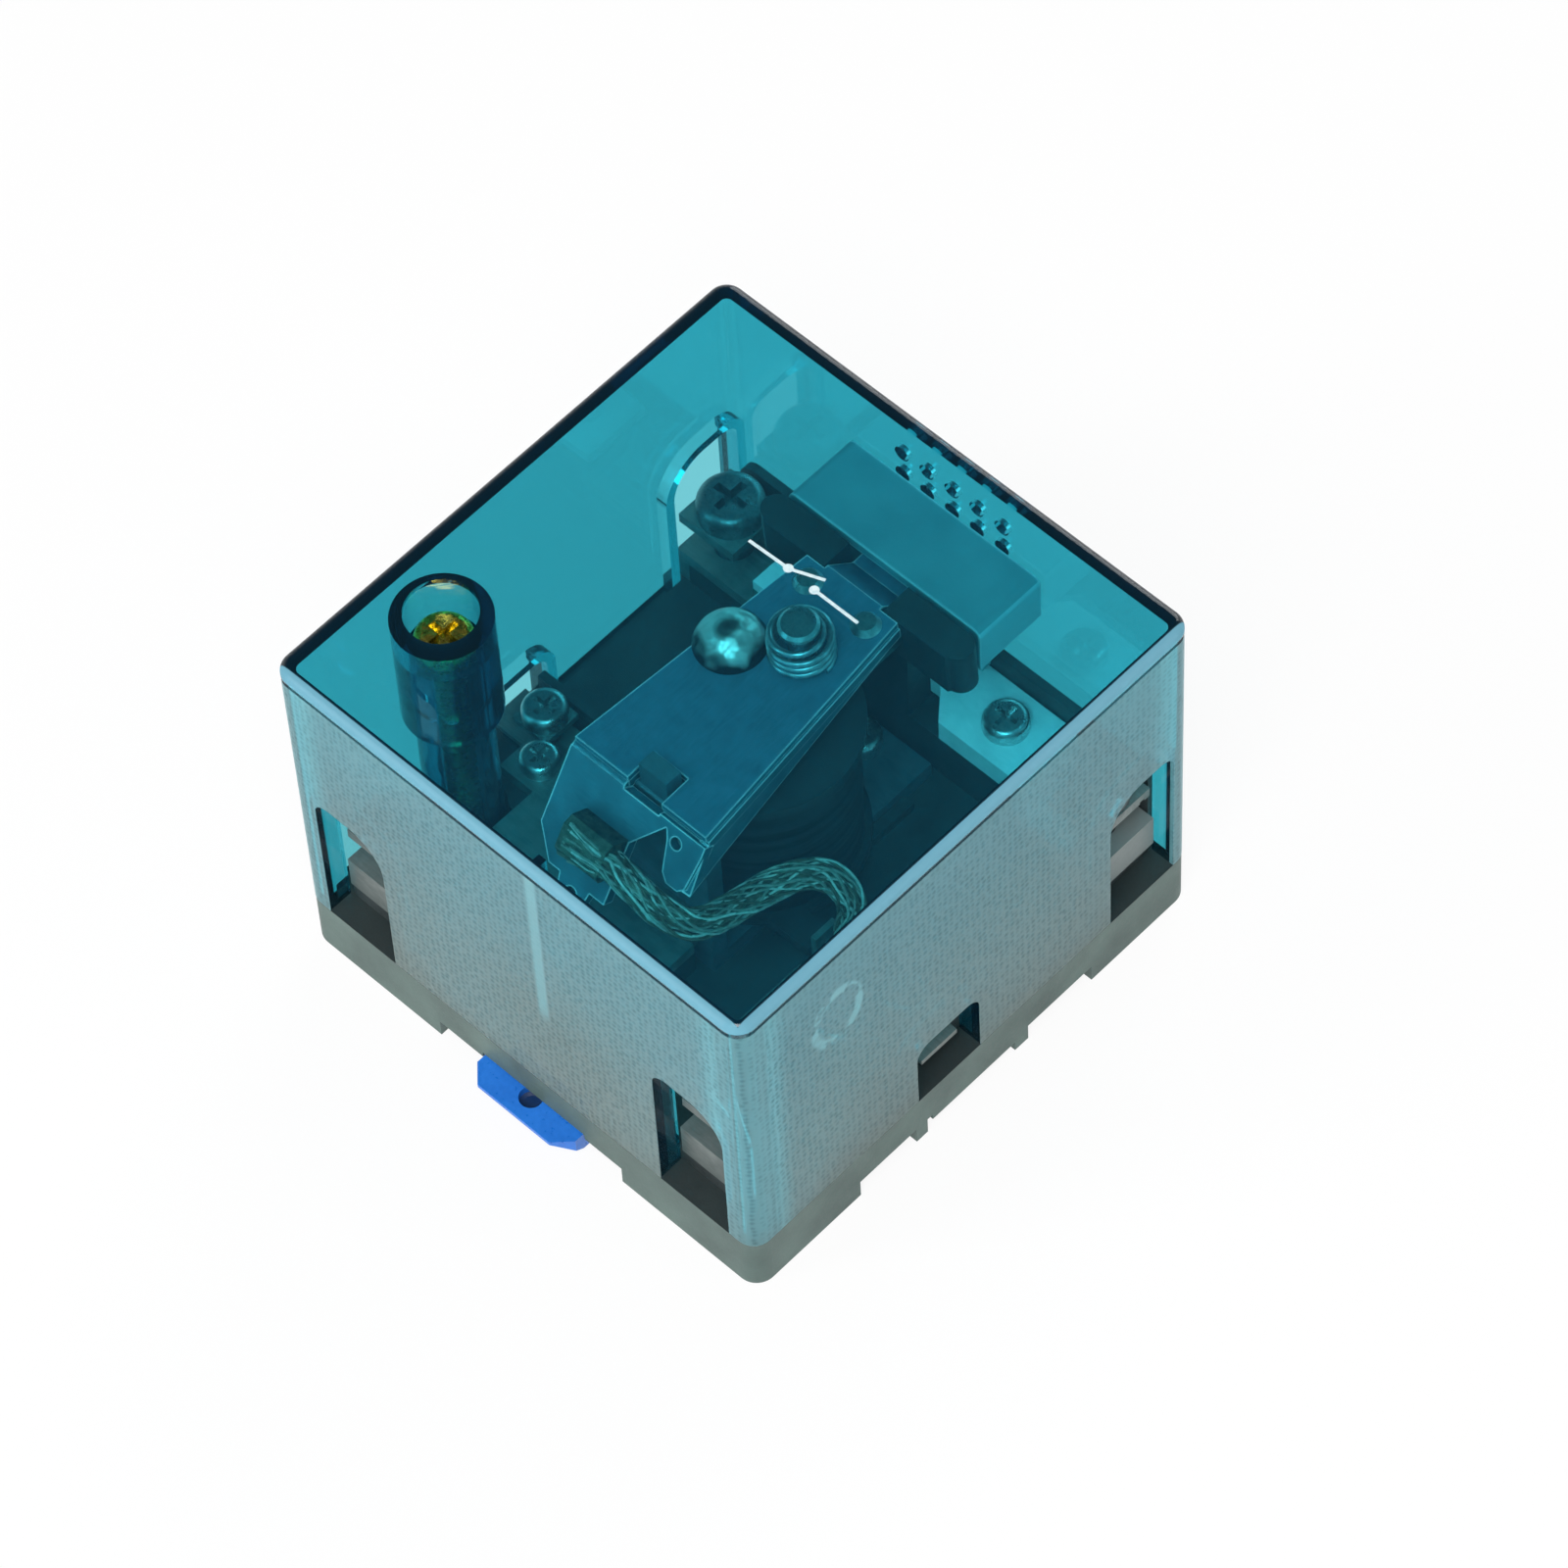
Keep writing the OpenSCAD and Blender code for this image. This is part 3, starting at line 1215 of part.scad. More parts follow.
// Small screws that hold the strips to the inner base
module strip_screws() {
    color("silver") {
        for (side = [-1, 1])
            translate([side * rear_screw_x, strip_y, high_z + bracket_t])
                pan_screw(small_head_d, 2.2, small_shank_d, high_z + bracket_t - floor_z - 1);
        translate([left_screw[0], left_screw[1], strip_z])
            pan_screw(small_head_d - 0.8, 2, small_shank_d, strip_z - floor_z);
        translate([right_screw[0], right_screw[1], strip_z + 1])
            pan_screw(small_head_d + 0.6, 2.4, small_shank_d, strip_z + 1 - floor_z);
    }
}

// Coil terminal strip with its tag next to the bobbin's lug
module coil_strip() {
    wide_x = coil_tag_x + 3.3;
    tag_w = 3.6;
    tag_h = 6;
    color("silver") difference() {
        union() {
            translate([wide_x, coil_strip_y - coil_strip_w / 2, coil_seat_z])
                cube([coil_strip_out - wide_x, coil_strip_w, coil_strip_t]);
            translate([coil_tag_x, coil_strip_y - tag_w / 2, coil_seat_z])
                cube([wide_x - coil_tag_x + eps, tag_w, coil_strip_t]);
            translate([coil_tag_x, coil_strip_y - tag_w / 2, coil_seat_z]) cube([coil_strip_t, tag_w, tag_h]);
        }
        translate([coil_screw_x, coil_strip_y, coil_seat_z - cut])
            cylinder(d = small_hole_d, h = coil_strip_t + 2 * cut);
    }
}

module coil_terminal_right() {
    coil_strip();
}

module coil_terminal_left() {
    mirror([1, 0, 0]) coil_strip();
}

// Screws of the two coil terminals
module coil_screws() {
    head_z = coil_washer_z + coil_clamp_t;
    color("gainsboro") for (side = [-1, 1])
        translate([side * coil_screw_x, coil_strip_y, head_z])
            pan_screw(5.8, 2.3, small_shank_d, head_z - base_h - 0.6);
}

// Square washers of the two coil terminals
module coil_clamps() {
    color("silver") for (side = [-1, 1])
        translate([side * coil_screw_x, coil_strip_y, coil_washer_z]) difference() {
            translate([-coil_clamp_side / 2, -coil_clamp_side / 2, 0])
                cube([coil_clamp_side, coil_clamp_side, coil_clamp_t]);
            translate([0, 0, -cut]) cylinder(d = small_hole_d, h = coil_clamp_t + 2 * cut);
        }
}

// Return spring between the leg and its anchor, one wire from loop to loop
module return_spring() {
    r = return_spring_d / 2 - return_wire_d / 2;
    low_ring = anchor_hole_z + spring_ring_r;
    low = low_ring + spring_ring_r + 1;
    high = ring_rest[2] - spring_ring_r - 1;
    steps = 12;
    count = steps * max(1, round((high - low) / (2.2 * return_wire_d)));
    path = concat(
        [for (a = [215 : 25 : 540]) [0, spring_ring_r * sin(a), low_ring - spring_ring_r * cos(a)]],
        [for (k = [1 : 3]) let (a = -120 + 7 * k) [r * k / 4 * cos(a), r * k / 4 * sin(a), low - 1 + k / 4]],
        [for (i = [0 : count]) let (a = i * 360 / steps - 90)
            [r * cos(a), r * sin(a), low + (high - low) * i / count]],
        [for (k = [3 : -1 : 1]) let (a = -60 - 7 * k)
            [r * k / 4 * cos(a), r * k / 4 * sin(a), high + 1 - k / 4]],
        [for (a = [0 : 25 : 325]) [0, spring_ring_r * sin(a), ring_rest[2] - spring_ring_r * cos(a)]]
    );
    color("silver") translate([spring_x, spring_y, 0]) wire(path, return_wire_d / 2, 6);
}

// Bent plate on the inner base that holds the spring's lower end
module spring_anchor() {
    t = 1;
    w = 5;
    color("silver") difference() {
        union() {
            translate([spring_x - w / 2, spring_y - t / 2, floor_z]) cube([w, t, anchor_hole_z + 1.5 - floor_z]);
            translate([spring_x - w / 2, spring_y - t / 2 - 3.6, floor_z]) cube([w, 4, t]);
        }
        translate([spring_x, spring_y - cut, anchor_hole_z]) rotate([-90, 0, 0])
            cylinder(d = 1.8, h = 2 * cut);
    }
}

// Braided lead, whole, from the leg's weld to its lug
module braid() {
    start = [weld_x + 0.02, weld_point[1], weld_point[2]];
    end = lug_start - 0.02 * lug_dir;
    route = concat([start + [0.5, 0, 0]], braid_points, [end - 1.4 * lug_dir, end - 0.5 * lug_dir]);
    color("darkgray") wire(concat([start], smooth(route, 3), [end]), braid_d / 2, 10);
}

// Weld block of the lead on the armature's leg
module braid_weld() {
    long = 6.6;
    wide = 5.4;
    color("darkgray") swung() on_leg() translate([weld_x - long, -weld_v + wide / 2, 0]) rotate([90, 0, 90])
        linear_extrude(long) polygon([
            [-wide, 0], [0, 0], [0, weld_h - 1], [-1, weld_h], [-wide + 1, weld_h], [-wide, weld_h - 1]
        ]);
}

// Lug of the lead on the front right terminal: ring under the screw, and barrel
module braid_foot() {
    ring_r = 4.2;
    ring_t = 1;
    barrel_len = 4.6;
    lug_turn = atan2(lug_dir[1], lug_dir[0]);
    color("silver") difference() {
        union() {
            translate([right_screw[0], right_screw[1], strip_z]) cylinder(r = ring_r, h = ring_t);
            translate(lug_start) rotate([0, 90, lug_turn]) cylinder(d = lug_barrel_d, h = barrel_len);
            translate([right_screw[0], right_screw[1], strip_z + 0.02]) rotate(lug_turn)
                translate([-lug_reach + 2.4, -1.9, 0]) cube([lug_reach - 2.4, 3.8, ring_t]);
        }
        translate([right_screw[0], right_screw[1], strip_z - cut])
            cylinder(d = small_hole_d, h = ring_t + 2 * cut);
        translate([right_screw[0], right_screw[1], strip_z + ring_t])
            cylinder(r = small_head_d / 2 + 2 * gap, h = 6);
    }
}

rail_base();
rail_clip();
clip_spring();
base_screws();
inner_base();
cover();
cover_screw();
yoke();
yoke_screw();
yoke_rivets();
core();
bobbin();
winding();
armature();
contact_blade();
dome_rivet();
pressure_stud();
pressure_spring();
carrier();
carrier_rivets();
moving_contact();
fixed_contact();
contact_bracket();
arc_hood();
terminal_front_left();
terminal_front_right();
terminal_rear_left();
terminal_rear_right();
terminal_screws();
clamp_plates();
strip_screws();
coil_terminal_left();
coil_terminal_right();
coil_screws();
coil_clamps();
return_spring();
spring_anchor();
braid();
braid_weld();
braid_foot();
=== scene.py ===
import math

import bmesh
import bpy
from mathutils import Matrix, Vector


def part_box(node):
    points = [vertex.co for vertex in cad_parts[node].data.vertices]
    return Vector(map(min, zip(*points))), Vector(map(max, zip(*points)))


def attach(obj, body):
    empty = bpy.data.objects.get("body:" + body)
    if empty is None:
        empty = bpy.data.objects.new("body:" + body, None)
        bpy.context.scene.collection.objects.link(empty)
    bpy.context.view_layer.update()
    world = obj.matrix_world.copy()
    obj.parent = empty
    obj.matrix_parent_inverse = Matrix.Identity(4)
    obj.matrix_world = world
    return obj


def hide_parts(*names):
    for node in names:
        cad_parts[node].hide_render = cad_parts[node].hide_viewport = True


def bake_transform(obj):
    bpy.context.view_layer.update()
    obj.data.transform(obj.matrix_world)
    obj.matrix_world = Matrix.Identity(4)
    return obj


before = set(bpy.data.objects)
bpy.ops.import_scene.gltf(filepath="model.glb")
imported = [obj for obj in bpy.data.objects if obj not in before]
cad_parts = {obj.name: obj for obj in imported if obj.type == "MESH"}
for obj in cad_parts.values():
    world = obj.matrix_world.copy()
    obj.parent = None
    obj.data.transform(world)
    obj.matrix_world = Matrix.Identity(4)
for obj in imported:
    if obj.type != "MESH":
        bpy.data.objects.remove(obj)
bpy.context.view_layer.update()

MM = 0.001


# Rail base: one grey moulding of filled nylon with a fine eroded skin.
# It snaps over the rail, and everything else is screwed down on it.
def hue(code):
    parts = [int(code[i:i + 2], 16) / 255 for i in (0, 2, 4)]
    return tuple(p / 12.92 if p < 0.04045 else ((p + 0.055) / 1.055) ** 2.4 for p in parts) + (1.0,)


def feed(finish, socket, value):
    if isinstance(value, bpy.types.NodeSocket):
        finish.node_tree.links.new(value, socket)
    else:
        socket.default_value = value


def worked(finish, kind, *values):
    made = finish.node_tree.nodes.new("ShaderNodeMath")
    made.operation = kind
    for socket, value in zip(made.inputs, values):
        feed(finish, socket, value)
    return made.outputs[0]


def mixed(finish, share, first, second, blend="MIX"):
    made = finish.node_tree.nodes.new("ShaderNodeMix")
    made.data_type = "RGBA"
    made.blend_type = blend
    for socket, value in ((made.inputs["Factor"], share), (made.inputs[6], first), (made.inputs[7], second)):
        feed(finish, socket, value)
    return made.outputs[2]


def start_finish(name, roughness, metallic=0.0):
    finish = bpy.data.materials.new(name)
    finish.use_nodes = True
    skin = finish.node_tree.nodes["Principled BSDF"]
    skin.inputs["Roughness"].default_value = roughness
    skin.inputs["Metallic"].default_value = metallic
    return finish, skin


def speckle(finish, size, detail=2.0, stretch=(1, 1, 1), rough=0.5):
    nodes, links = finish.node_tree.nodes, finish.node_tree.links
    where = nodes.new("ShaderNodeTexCoord")
    laid = nodes.new("ShaderNodeMapping")
    laid.inputs["Scale"].default_value = stretch
    spots = nodes.new("ShaderNodeTexNoise")
    spots.inputs["Scale"].default_value = 1 / size
    spots.inputs["Detail"].default_value = detail
    spots.inputs["Roughness"].default_value = rough
    links.new(where.outputs["Object"], laid.inputs["Vector"])
    links.new(laid.outputs["Vector"], spots.inputs["Vector"])
    return spots.outputs["Fac"]


def shaded(finish, amount, stops):
    ramp = finish.node_tree.nodes.new("ShaderNodeValToRGB")
    band = ramp.color_ramp
    band.elements[0].position, band.elements[0].color = stops[0]
    band.elements[1].position, band.elements[1].color = stops[-1]
    for place, colour in stops[1:-1]:
        band.elements.new(place).color = colour
    finish.node_tree.links.new(amount, ramp.inputs["Fac"])
    return ramp.outputs["Color"]


def ranged(finish, amount, low, high, start=0.3, end=0.7):
    spread = finish.node_tree.nodes.new("ShaderNodeMapRange")
    for socket, value in (("From Min", start), ("From Max", end), ("To Min", low), ("To Max", high)):
        spread.inputs[socket].default_value = value
    finish.node_tree.links.new(amount, spread.inputs["Value"])
    return spread.outputs["Result"]


def relief(finish, skin, amount, height, strength=1.0):
    rise = finish.node_tree.nodes.new("ShaderNodeBump")
    rise.inputs["Strength"].default_value = strength
    rise.inputs["Distance"].default_value = height
    finish.node_tree.links.new(amount, rise.inputs["Height"])
    finish.node_tree.links.new(rise.outputs["Normal"], skin.inputs["Normal"])


def moulding(name, dark, pale, roughness, grain=0.35 * MM, height=0.02 * MM):
    finish, skin = start_finish(name, roughness)
    cloud = speckle(finish, 9 * MM, 4.0)
    fine = speckle(finish, grain, 2.0)
    mottled = worked(finish, "MULTIPLY_ADD", fine, 0.45, ranged(finish, cloud, 0.0, 0.55))
    feed(finish, skin.inputs["Base Color"], shaded(finish, mottled, [(0.15, hue(dark)), (0.8, hue(pale))]))
    feed(finish, skin.inputs["Roughness"], ranged(finish, fine, roughness - 0.08, roughness + 0.1))
    relief(finish, skin, fine, height)
    return finish


def dress(finish, *names):
    for name in names:
        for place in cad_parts[name].material_slots:
            place.material = finish


# Paints light or shade: mixes a flat colour over everything beyond a level along one axis.
def painted_light_above(finish, level, colour, axis="Z"):
    nodes = finish.node_tree.nodes
    base = nodes["Principled BSDF"].inputs["Base Color"]
    axes = nodes.new("ShaderNodeSeparateXYZ")
    feed(finish, axes.inputs["Vector"], nodes.new("ShaderNodeTexCoord").outputs["Object"])
    share = ranged(finish, axes.outputs[axis], 0.0, 0.93, level, level + 0.08 * MM)
    feed(finish, base, mixed(finish, share, base.links[0].from_socket, hue(colour)))


shaded_land_z = 8.48 * MM
grey_nylon = moulding("grey_filled_nylon", "40524f", "5e756f", 0.55)
# Painted shade: the base's top land under the cover is darkened to near black.
painted_light_above(grey_nylon, shaded_land_z, "20282a")
dress(grey_nylon, "rail_base")


# Rail clip: blue acetal slide with a slightly waxy gloss, pulled out with a screwdriver.
# It slides in the base's channel. Its pull hole is shut below by a thin disc painted dark blue as the hole's
# shade.
def placed(name, data):
    piece = bpy.data.objects.new(name, data)
    bpy.context.scene.collection.objects.link(piece)
    return piece


def settled(name, shape):
    mesh = bpy.data.meshes.new(name)
    shape.to_mesh(mesh)
    shape.free()
    return placed(name, mesh)


clip_blue = moulding("blue_acetal", "125fc0", "2a82e6", 0.34, 0.6 * MM, 0.008 * MM)
dress(clip_blue, "rail_clip")
shade_blue = moulding("shaded_blue_acetal", "07264a", "0c3868", 0.5, 0.6 * MM, 0.008 * MM)
pull_hole_r, pull_hole_at, pull_floor_thick = 1.51 * MM, Vector((0.6, -37.9, 1.95)) * MM, 0.4 * MM
pull_dish_rim, pull_dish_deep = 0.5 * MM, 0.2 * MM
# Painted shade: a dark blue disc fills the pull hole's bottom, where only shade is seen.
hole_floor = bmesh.new()
bmesh.ops.create_circle(hole_floor, cap_ends=True, radius=pull_hole_r, segments=28,
                        matrix=Matrix.Translation(pull_hole_at))
raised = bmesh.ops.extrude_face_region(hole_floor, geom=hole_floor.faces[:])
top = [part for part in raised["geom"] if isinstance(part, bmesh.types.BMVert)]
bmesh.ops.translate(hole_floor, vec=(0, 0, pull_floor_thick), verts=top)
hole_floor.faces.ensure_lookup_table()
lid = max(hole_floor.faces, key=lambda face: face.calc_center_median().z)
bmesh.ops.inset_individual(hole_floor, faces=[lid], thickness=pull_dish_rim, depth=-pull_dish_deep)
bmesh.ops.recalc_face_normals(hole_floor, faces=hole_floor.faces[:])
shaded_pull_hole_floor = settled("shaded_pull_hole_floor", hole_floor)
shaded_pull_hole_floor.data.materials.append(shade_blue)
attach(shaded_pull_hole_floor, "clip")


# Clip spring: small compression spring of bare spring wire behind the clip.
# One end bears on the base's post, the other in the clip's window.
def drawn_wire(name, pale, dark, roughness):
    finish, skin = start_finish(name, roughness, 1.0)
    stain = speckle(finish, 1.4 * MM, 3.0)
    feed(finish, skin.inputs["Base Color"], shaded(finish, stain, [(0.3, hue(dark)), (0.7, hue(pale))]))
    feed(finish, skin.inputs["Roughness"], ranged(finish, stain, roughness + 0.12, roughness))
    relief(finish, skin, speckle(finish, 0.2 * MM), 0.004 * MM)
    return finish


def round_wire(name, path, radius, sides=8):
    curve = bpy.data.curves.new(name, "CURVE")
    curve.dimensions = "3D"
    run = curve.splines.new("POLY")
    run.points.add(len(path) - 1)
    for point, at in zip(run.points, path):
        point.co = (at[0] * MM, at[1] * MM, at[2] * MM, 1)
    curve.bevel_depth = radius * MM
    curve.bevel_resolution = sides // 2 - 2
    curve.use_fill_caps = True
    drawn = placed(name + "_line", curve)
    shape = bpy.data.meshes.new_from_object(drawn.evaluated_get(bpy.context.evaluated_depsgraph_get()))
    bpy.data.objects.remove(drawn)
    for face in shape.polygons:
        face.use_smooth = True
    return placed(name, shape)


spring_steel = drawn_wire("spring_steel", "c9cdd0", "8b9196", 0.28)
clip_low, clip_high = (Vector(corner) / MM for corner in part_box("clip_spring"))
middle_x, middle_z = (clip_low.x + clip_high.x) / 2, (clip_low.z + clip_high.z) / 2
clip_wire_r, clip_turns, clip_steps = 0.225, 4, 90
clip_coil_r = (clip_high.x - clip_low.x) / 2 - clip_wire_r
clip_run = clip_high.y - clip_low.y - 2 * clip_wire_r
clip_coil = [
    (middle_x + clip_coil_r * math.cos(math.tau * clip_turns * i / clip_steps),
     clip_low.y + clip_wire_r + clip_run * i / clip_steps,
     middle_z + clip_coil_r * math.sin(math.tau * clip_turns * i / clip_steps))
    for i in range(clip_steps + 1)
]
slide_spring = round_wire("slide_spring", clip_coil, clip_wire_r)
slide_spring.data.materials.append(spring_steel)
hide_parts("clip_spring")
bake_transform(slide_spring)


# Base screws: zinc-plated pan heads driven up through the feet from below.
# They hold the rail base and the inner base together.
def plating(name, pale, dark, roughness, along=(1, 1, 1), size=2.2 * MM, metallic=1.0):
    finish, skin = start_finish(name, roughness, metallic)
    cloud = speckle(finish, size, 4.0)
    drawn = speckle(finish, 0.3 * MM, 2.0, along)
    worn = worked(finish, "MULTIPLY_ADD", drawn, 0.5, ranged(finish, cloud, 0.0, 0.5))
    feed(finish, skin.inputs["Base Color"], shaded(finish, worn, [(0.2, hue(dark)), (0.78, hue(pale))]))
    feed(finish, skin.inputs["Roughness"], ranged(finish, worn, roughness + 0.1, roughness - 0.05))
    relief(finish, skin, drawn, 0.006 * MM)
    return finish


zinc_screw = plating("zinc_plated_screw", "d4d8d8", "9ba3a4", 0.3)
dress(zinc_screw, "base_screws", "yoke_screw")


# Inner base: black moulding that carries the magnet, the contacts and all terminals.
# Its skin is matte, with paler rubbed spots where parts were fitted.
dress(moulding("black_moulding", "23292b", "3c4648", 0.5, 0.5 * MM), "inner_base")


# Coil: nylon former with a winding of enamelled wire under black tape.
# The tape's turns overlap and show as fine steps round the coil.
dress(moulding("black_former", "23282b", "33393c", 0.42), "bobbin")
tape, tape_skin = start_finish("coil_tape", 0.4)
tape_turns = speckle(tape, 1.1 * MM, 1.0, (0.05, 0.05, 1))
tape_black = shaded(tape, tape_turns, [(0.35, hue("15181a")), (0.6, hue("2b3033"))])
feed(tape, tape_skin.inputs["Base Color"], tape_black)
relief(tape, tape_skin, tape_turns, 0.05 * MM)
dress(tape, "winding")


# Armature, core and yoke: soft iron parts with a dull nickel finish.
# The armature is stamped from sheet, bent at its leg, and rocks on the yoke's edge.
# Its edges carry a painted highlight.
def vectored(finish, kind, *values):
    made = finish.node_tree.nodes.new("ShaderNodeVectorMath")
    made.operation = kind
    for socket, value in zip(made.inputs, values):
        feed(finish, socket, value)
    return made.outputs["Value" if kind in ("DOT_PRODUCT", "LENGTH") else "Vector"]


# Painted highlight: mixes a pale colour into the base colour along edges, found from a bevelled normal.
def painted_edge_highlights(finish, reach, colour, strength):
    nodes = finish.node_tree.nodes
    base = nodes["Principled BSDF"].inputs["Base Color"]
    flat = nodes.new("ShaderNodeNewGeometry")
    rounded = nodes.new("ShaderNodeBevel")
    rounded.samples = 6
    rounded.inputs["Radius"].default_value = reach
    likeness = vectored(finish, "DOT_PRODUCT", flat.outputs["True Normal"], rounded.outputs["Normal"])
    edge_highlight_share = ranged(finish, likeness, strength, 0.0, 0.86, 0.985)
    feed(finish, base, mixed(finish, edge_highlight_share, base.links[0].from_socket, hue(colour)))


soft_iron = plating("nickel_on_iron", "557a89", "446472", 0.4, (0.2, 1, 1), 5 * MM, 0.5)
painted_edge_highlights(soft_iron, 0.4 * MM, "ffffff", 1.0)
dress(soft_iron, "armature")
yoke_iron = plating("nickel_on_yoke", "6b7e88", "56676f", 0.4, (0.2, 1, 1), 5 * MM, 0.5)
dress(yoke_iron, "core", "yoke", "yoke_rivets", "spring_anchor")


# Contact blade: hard copper-alloy spring sheet riveted along the armature's top.
# It steps down at its end and carries the moving contact.
blade_metal = plating("tinned_spring_copper", "628ca1", "507286", 0.4, (1, 0.1, 1), 4 * MM, 0.5)
# Painted highlights along the blade's edges.
painted_edge_highlights(blade_metal, 0.42 * MM, "ffffff", 1.0)
dress(blade_metal, "contact_blade")


# Domed rivet: bright chromed head on the blade, closed down over its shank.
# Its colour is painted light: a dark painted reflection in the middle, a pale warm painted highlight round it,
# and painted shade on the rim.
chrome = drawn_wire("bright_chrome", "fbfdfd", "dde4e6", 0.36)
chrome_nodes = chrome.node_tree.nodes
chrome_skin = chrome_nodes["Principled BSDF"]
chrome_skin.inputs["Metallic"].default_value = 0.8
relief(chrome, chrome_skin, speckle(chrome, 1.9 * MM, 1.0), 0.6 * MM)
rivet_low, rivet_high = (Vector(corner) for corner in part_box("dome_rivet"))
rivet_middle, rivet_r = (rivet_low + rivet_high) / 2, (rivet_high.x - rivet_low.x) / 2
reflection_wobble = 2.4 * MM
off_middle = vectored(chrome, "SUBTRACT", chrome_nodes.new("ShaderNodeTexCoord").outputs["Object"], rivet_middle)
from_middle = vectored(chrome, "LENGTH", vectored(chrome, "MULTIPLY", off_middle, (1, 1, 0)))
uneven = worked(chrome, "MULTIPLY_ADD", speckle(chrome, 2.4 * MM, 0.5), reflection_wobble, from_middle)
# Painted reflection, painted highlight and painted shade, in rings from the dome's middle.
dome_painted_light = shaded(
    chrome, ranged(chrome, uneven, 0.0, 1.0, reflection_wobble / 2, rivet_r + reflection_wobble / 2),
    [(0.0, hue("594f4c")), (0.18, hue("7a6d69")), (0.42, hue("ffe4dc")), (0.78, hue("e6cbc4")),
     (0.95, hue("1d2326"))])
feed(chrome, chrome_skin.inputs["Base Color"], dome_painted_light)
dress(chrome, "dome_rivet")


# Pressure spring on its stud: a short coil of spring wire kept on the blade by the stud's cap.
# It rides on the armature and keeps the same length.
hinge_y, hinge_z, open_turn = -14.4, 41.1, math.radians(3.0)


def swung(point):
    y, z = point[1] - hinge_y, point[2] - hinge_z
    return (point[0], hinge_y + y * math.cos(open_turn) - z * math.sin(open_turn),
            hinge_z + y * math.sin(open_turn) + z * math.cos(open_turn))


dress(zinc_screw, "pressure_stud")
stud_x, stud_y, blade_top = 1.9, 9.4, 43.72
press_wire, press_wide, press_top, press_turns = 0.45, 3.65, 2.1, 4.5
press_low, press_high, press_steps = blade_top + 0.47, blade_top + 5.73, 140
last_turn = press_steps / press_turns
press_coil = []
for i in range(press_steps + 1):
    drawn_in = max(0, i - press_steps + last_turn) / last_turn
    reach = press_wide + (press_top - press_wide) * drawn_in
    angle = math.tau * press_turns * i / press_steps
    press_coil.append(swung((stud_x + reach * math.cos(angle), stud_y + reach * math.sin(angle),
                             press_low + (press_high - press_low) * i / press_steps)))
blade_spring = round_wire("blade_spring", press_coil, press_wire, 12)
blade_spring.data.materials.append(spring_steel)
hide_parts("pressure_spring")
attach(blade_spring, "moving_armature")


# Carrier: black insulating bar of filled moulding compound, riveted to the armature's end.
# It keeps the coil's side away from the contacts' side.
carrier_black = moulding("black_carrier", "1d2224", "343d40", 0.42, 0.4 * MM)
dress(carrier_black, "carrier")
dress(zinc_screw, "carrier_rivets")


# Contacts: silver-alloy buttons, riveted into the blade and the bracket.
# They meet under the hood when the armature closes.
silver = plating("contact_silver", "e4e2dc", "b5b2aa", 0.3)
dress(silver, "moving_contact", "fixed_contact")


# Arc hood: moulded cap over the contacts, with painted highlights on its edges.
# It stands on the inner base behind the carrier, and a painted highlight makes its right side paler.
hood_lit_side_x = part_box("arc_hood")[1][0] - 0.3 * MM
hood_black = moulding("smoke_hood", "64828a", "76959b", 0.4, 0.4 * MM)
# Painted highlight: the hood's right side is mixed paler.
painted_light_above(hood_black, hood_lit_side_x, "a2c4ca", "X")
painted_edge_highlights(hood_black, 0.7 * MM, "c4dde0", 0.8)
dress(hood_black, "arc_hood")


# Power terminals: nickel-plated strips with clamp plates under their screws.
# The nickel comes in two copies: the rear right strip and the contact bracket on it are painted light, nearly
# white, while the other strips, clamps, coil terminals and the lead's foot are painted shade, darker; the rear
# right strip's end towards the right wall is painted shade too.
strip_shade_x = 28.5 * MM
# Painted light: this copy of the nickel is whitened.
lit_strip_metal = plating("nickel_strip", "f8fbfb", "dfe6e6", 0.5, (0.15, 1, 1), 3 * MM, 0.05)
# Painted shade: the strip's end towards the right wall is darkened.
painted_light_above(lit_strip_metal, strip_shade_x, "6f7978", "X")
dress(lit_strip_metal, "terminal_rear_right", "contact_bracket")
# Painted shade: this copy of the nickel is darkened.
shaded_strip_metal = plating("shaded_nickel_strip", "858e8c", "677170", 0.42, (0.15, 1, 1), 3 * MM, 0.5)
dress(shaded_strip_metal, "terminal_front_left", "terminal_front_right", "terminal_rear_left", "clamp_plates",
      "coil_terminal_left", "coil_terminal_right", "coil_clamps")
dark_screw = plating("dark_zinc_screw", "8b9496", "566063", 0.32, metallic=0.8)
dress(dark_screw, "terminal_screws")
dress(zinc_screw, "strip_screws", "coil_screws")


# Return spring: extension spring between the leg's tab and its anchor.
# Its lower loop hooks the anchor on the base and its upper loop hooks the armature.
def loop(radius, z, first, last, step):
    return [(0.0, radius * math.sin(math.radians(a)), z - radius * math.cos(math.radians(a)))
            for a in range(first, last + 1, step)]


def turned(radius, degrees, z):
    return radius * math.cos(math.radians(degrees)), radius * math.sin(math.radians(degrees)), z


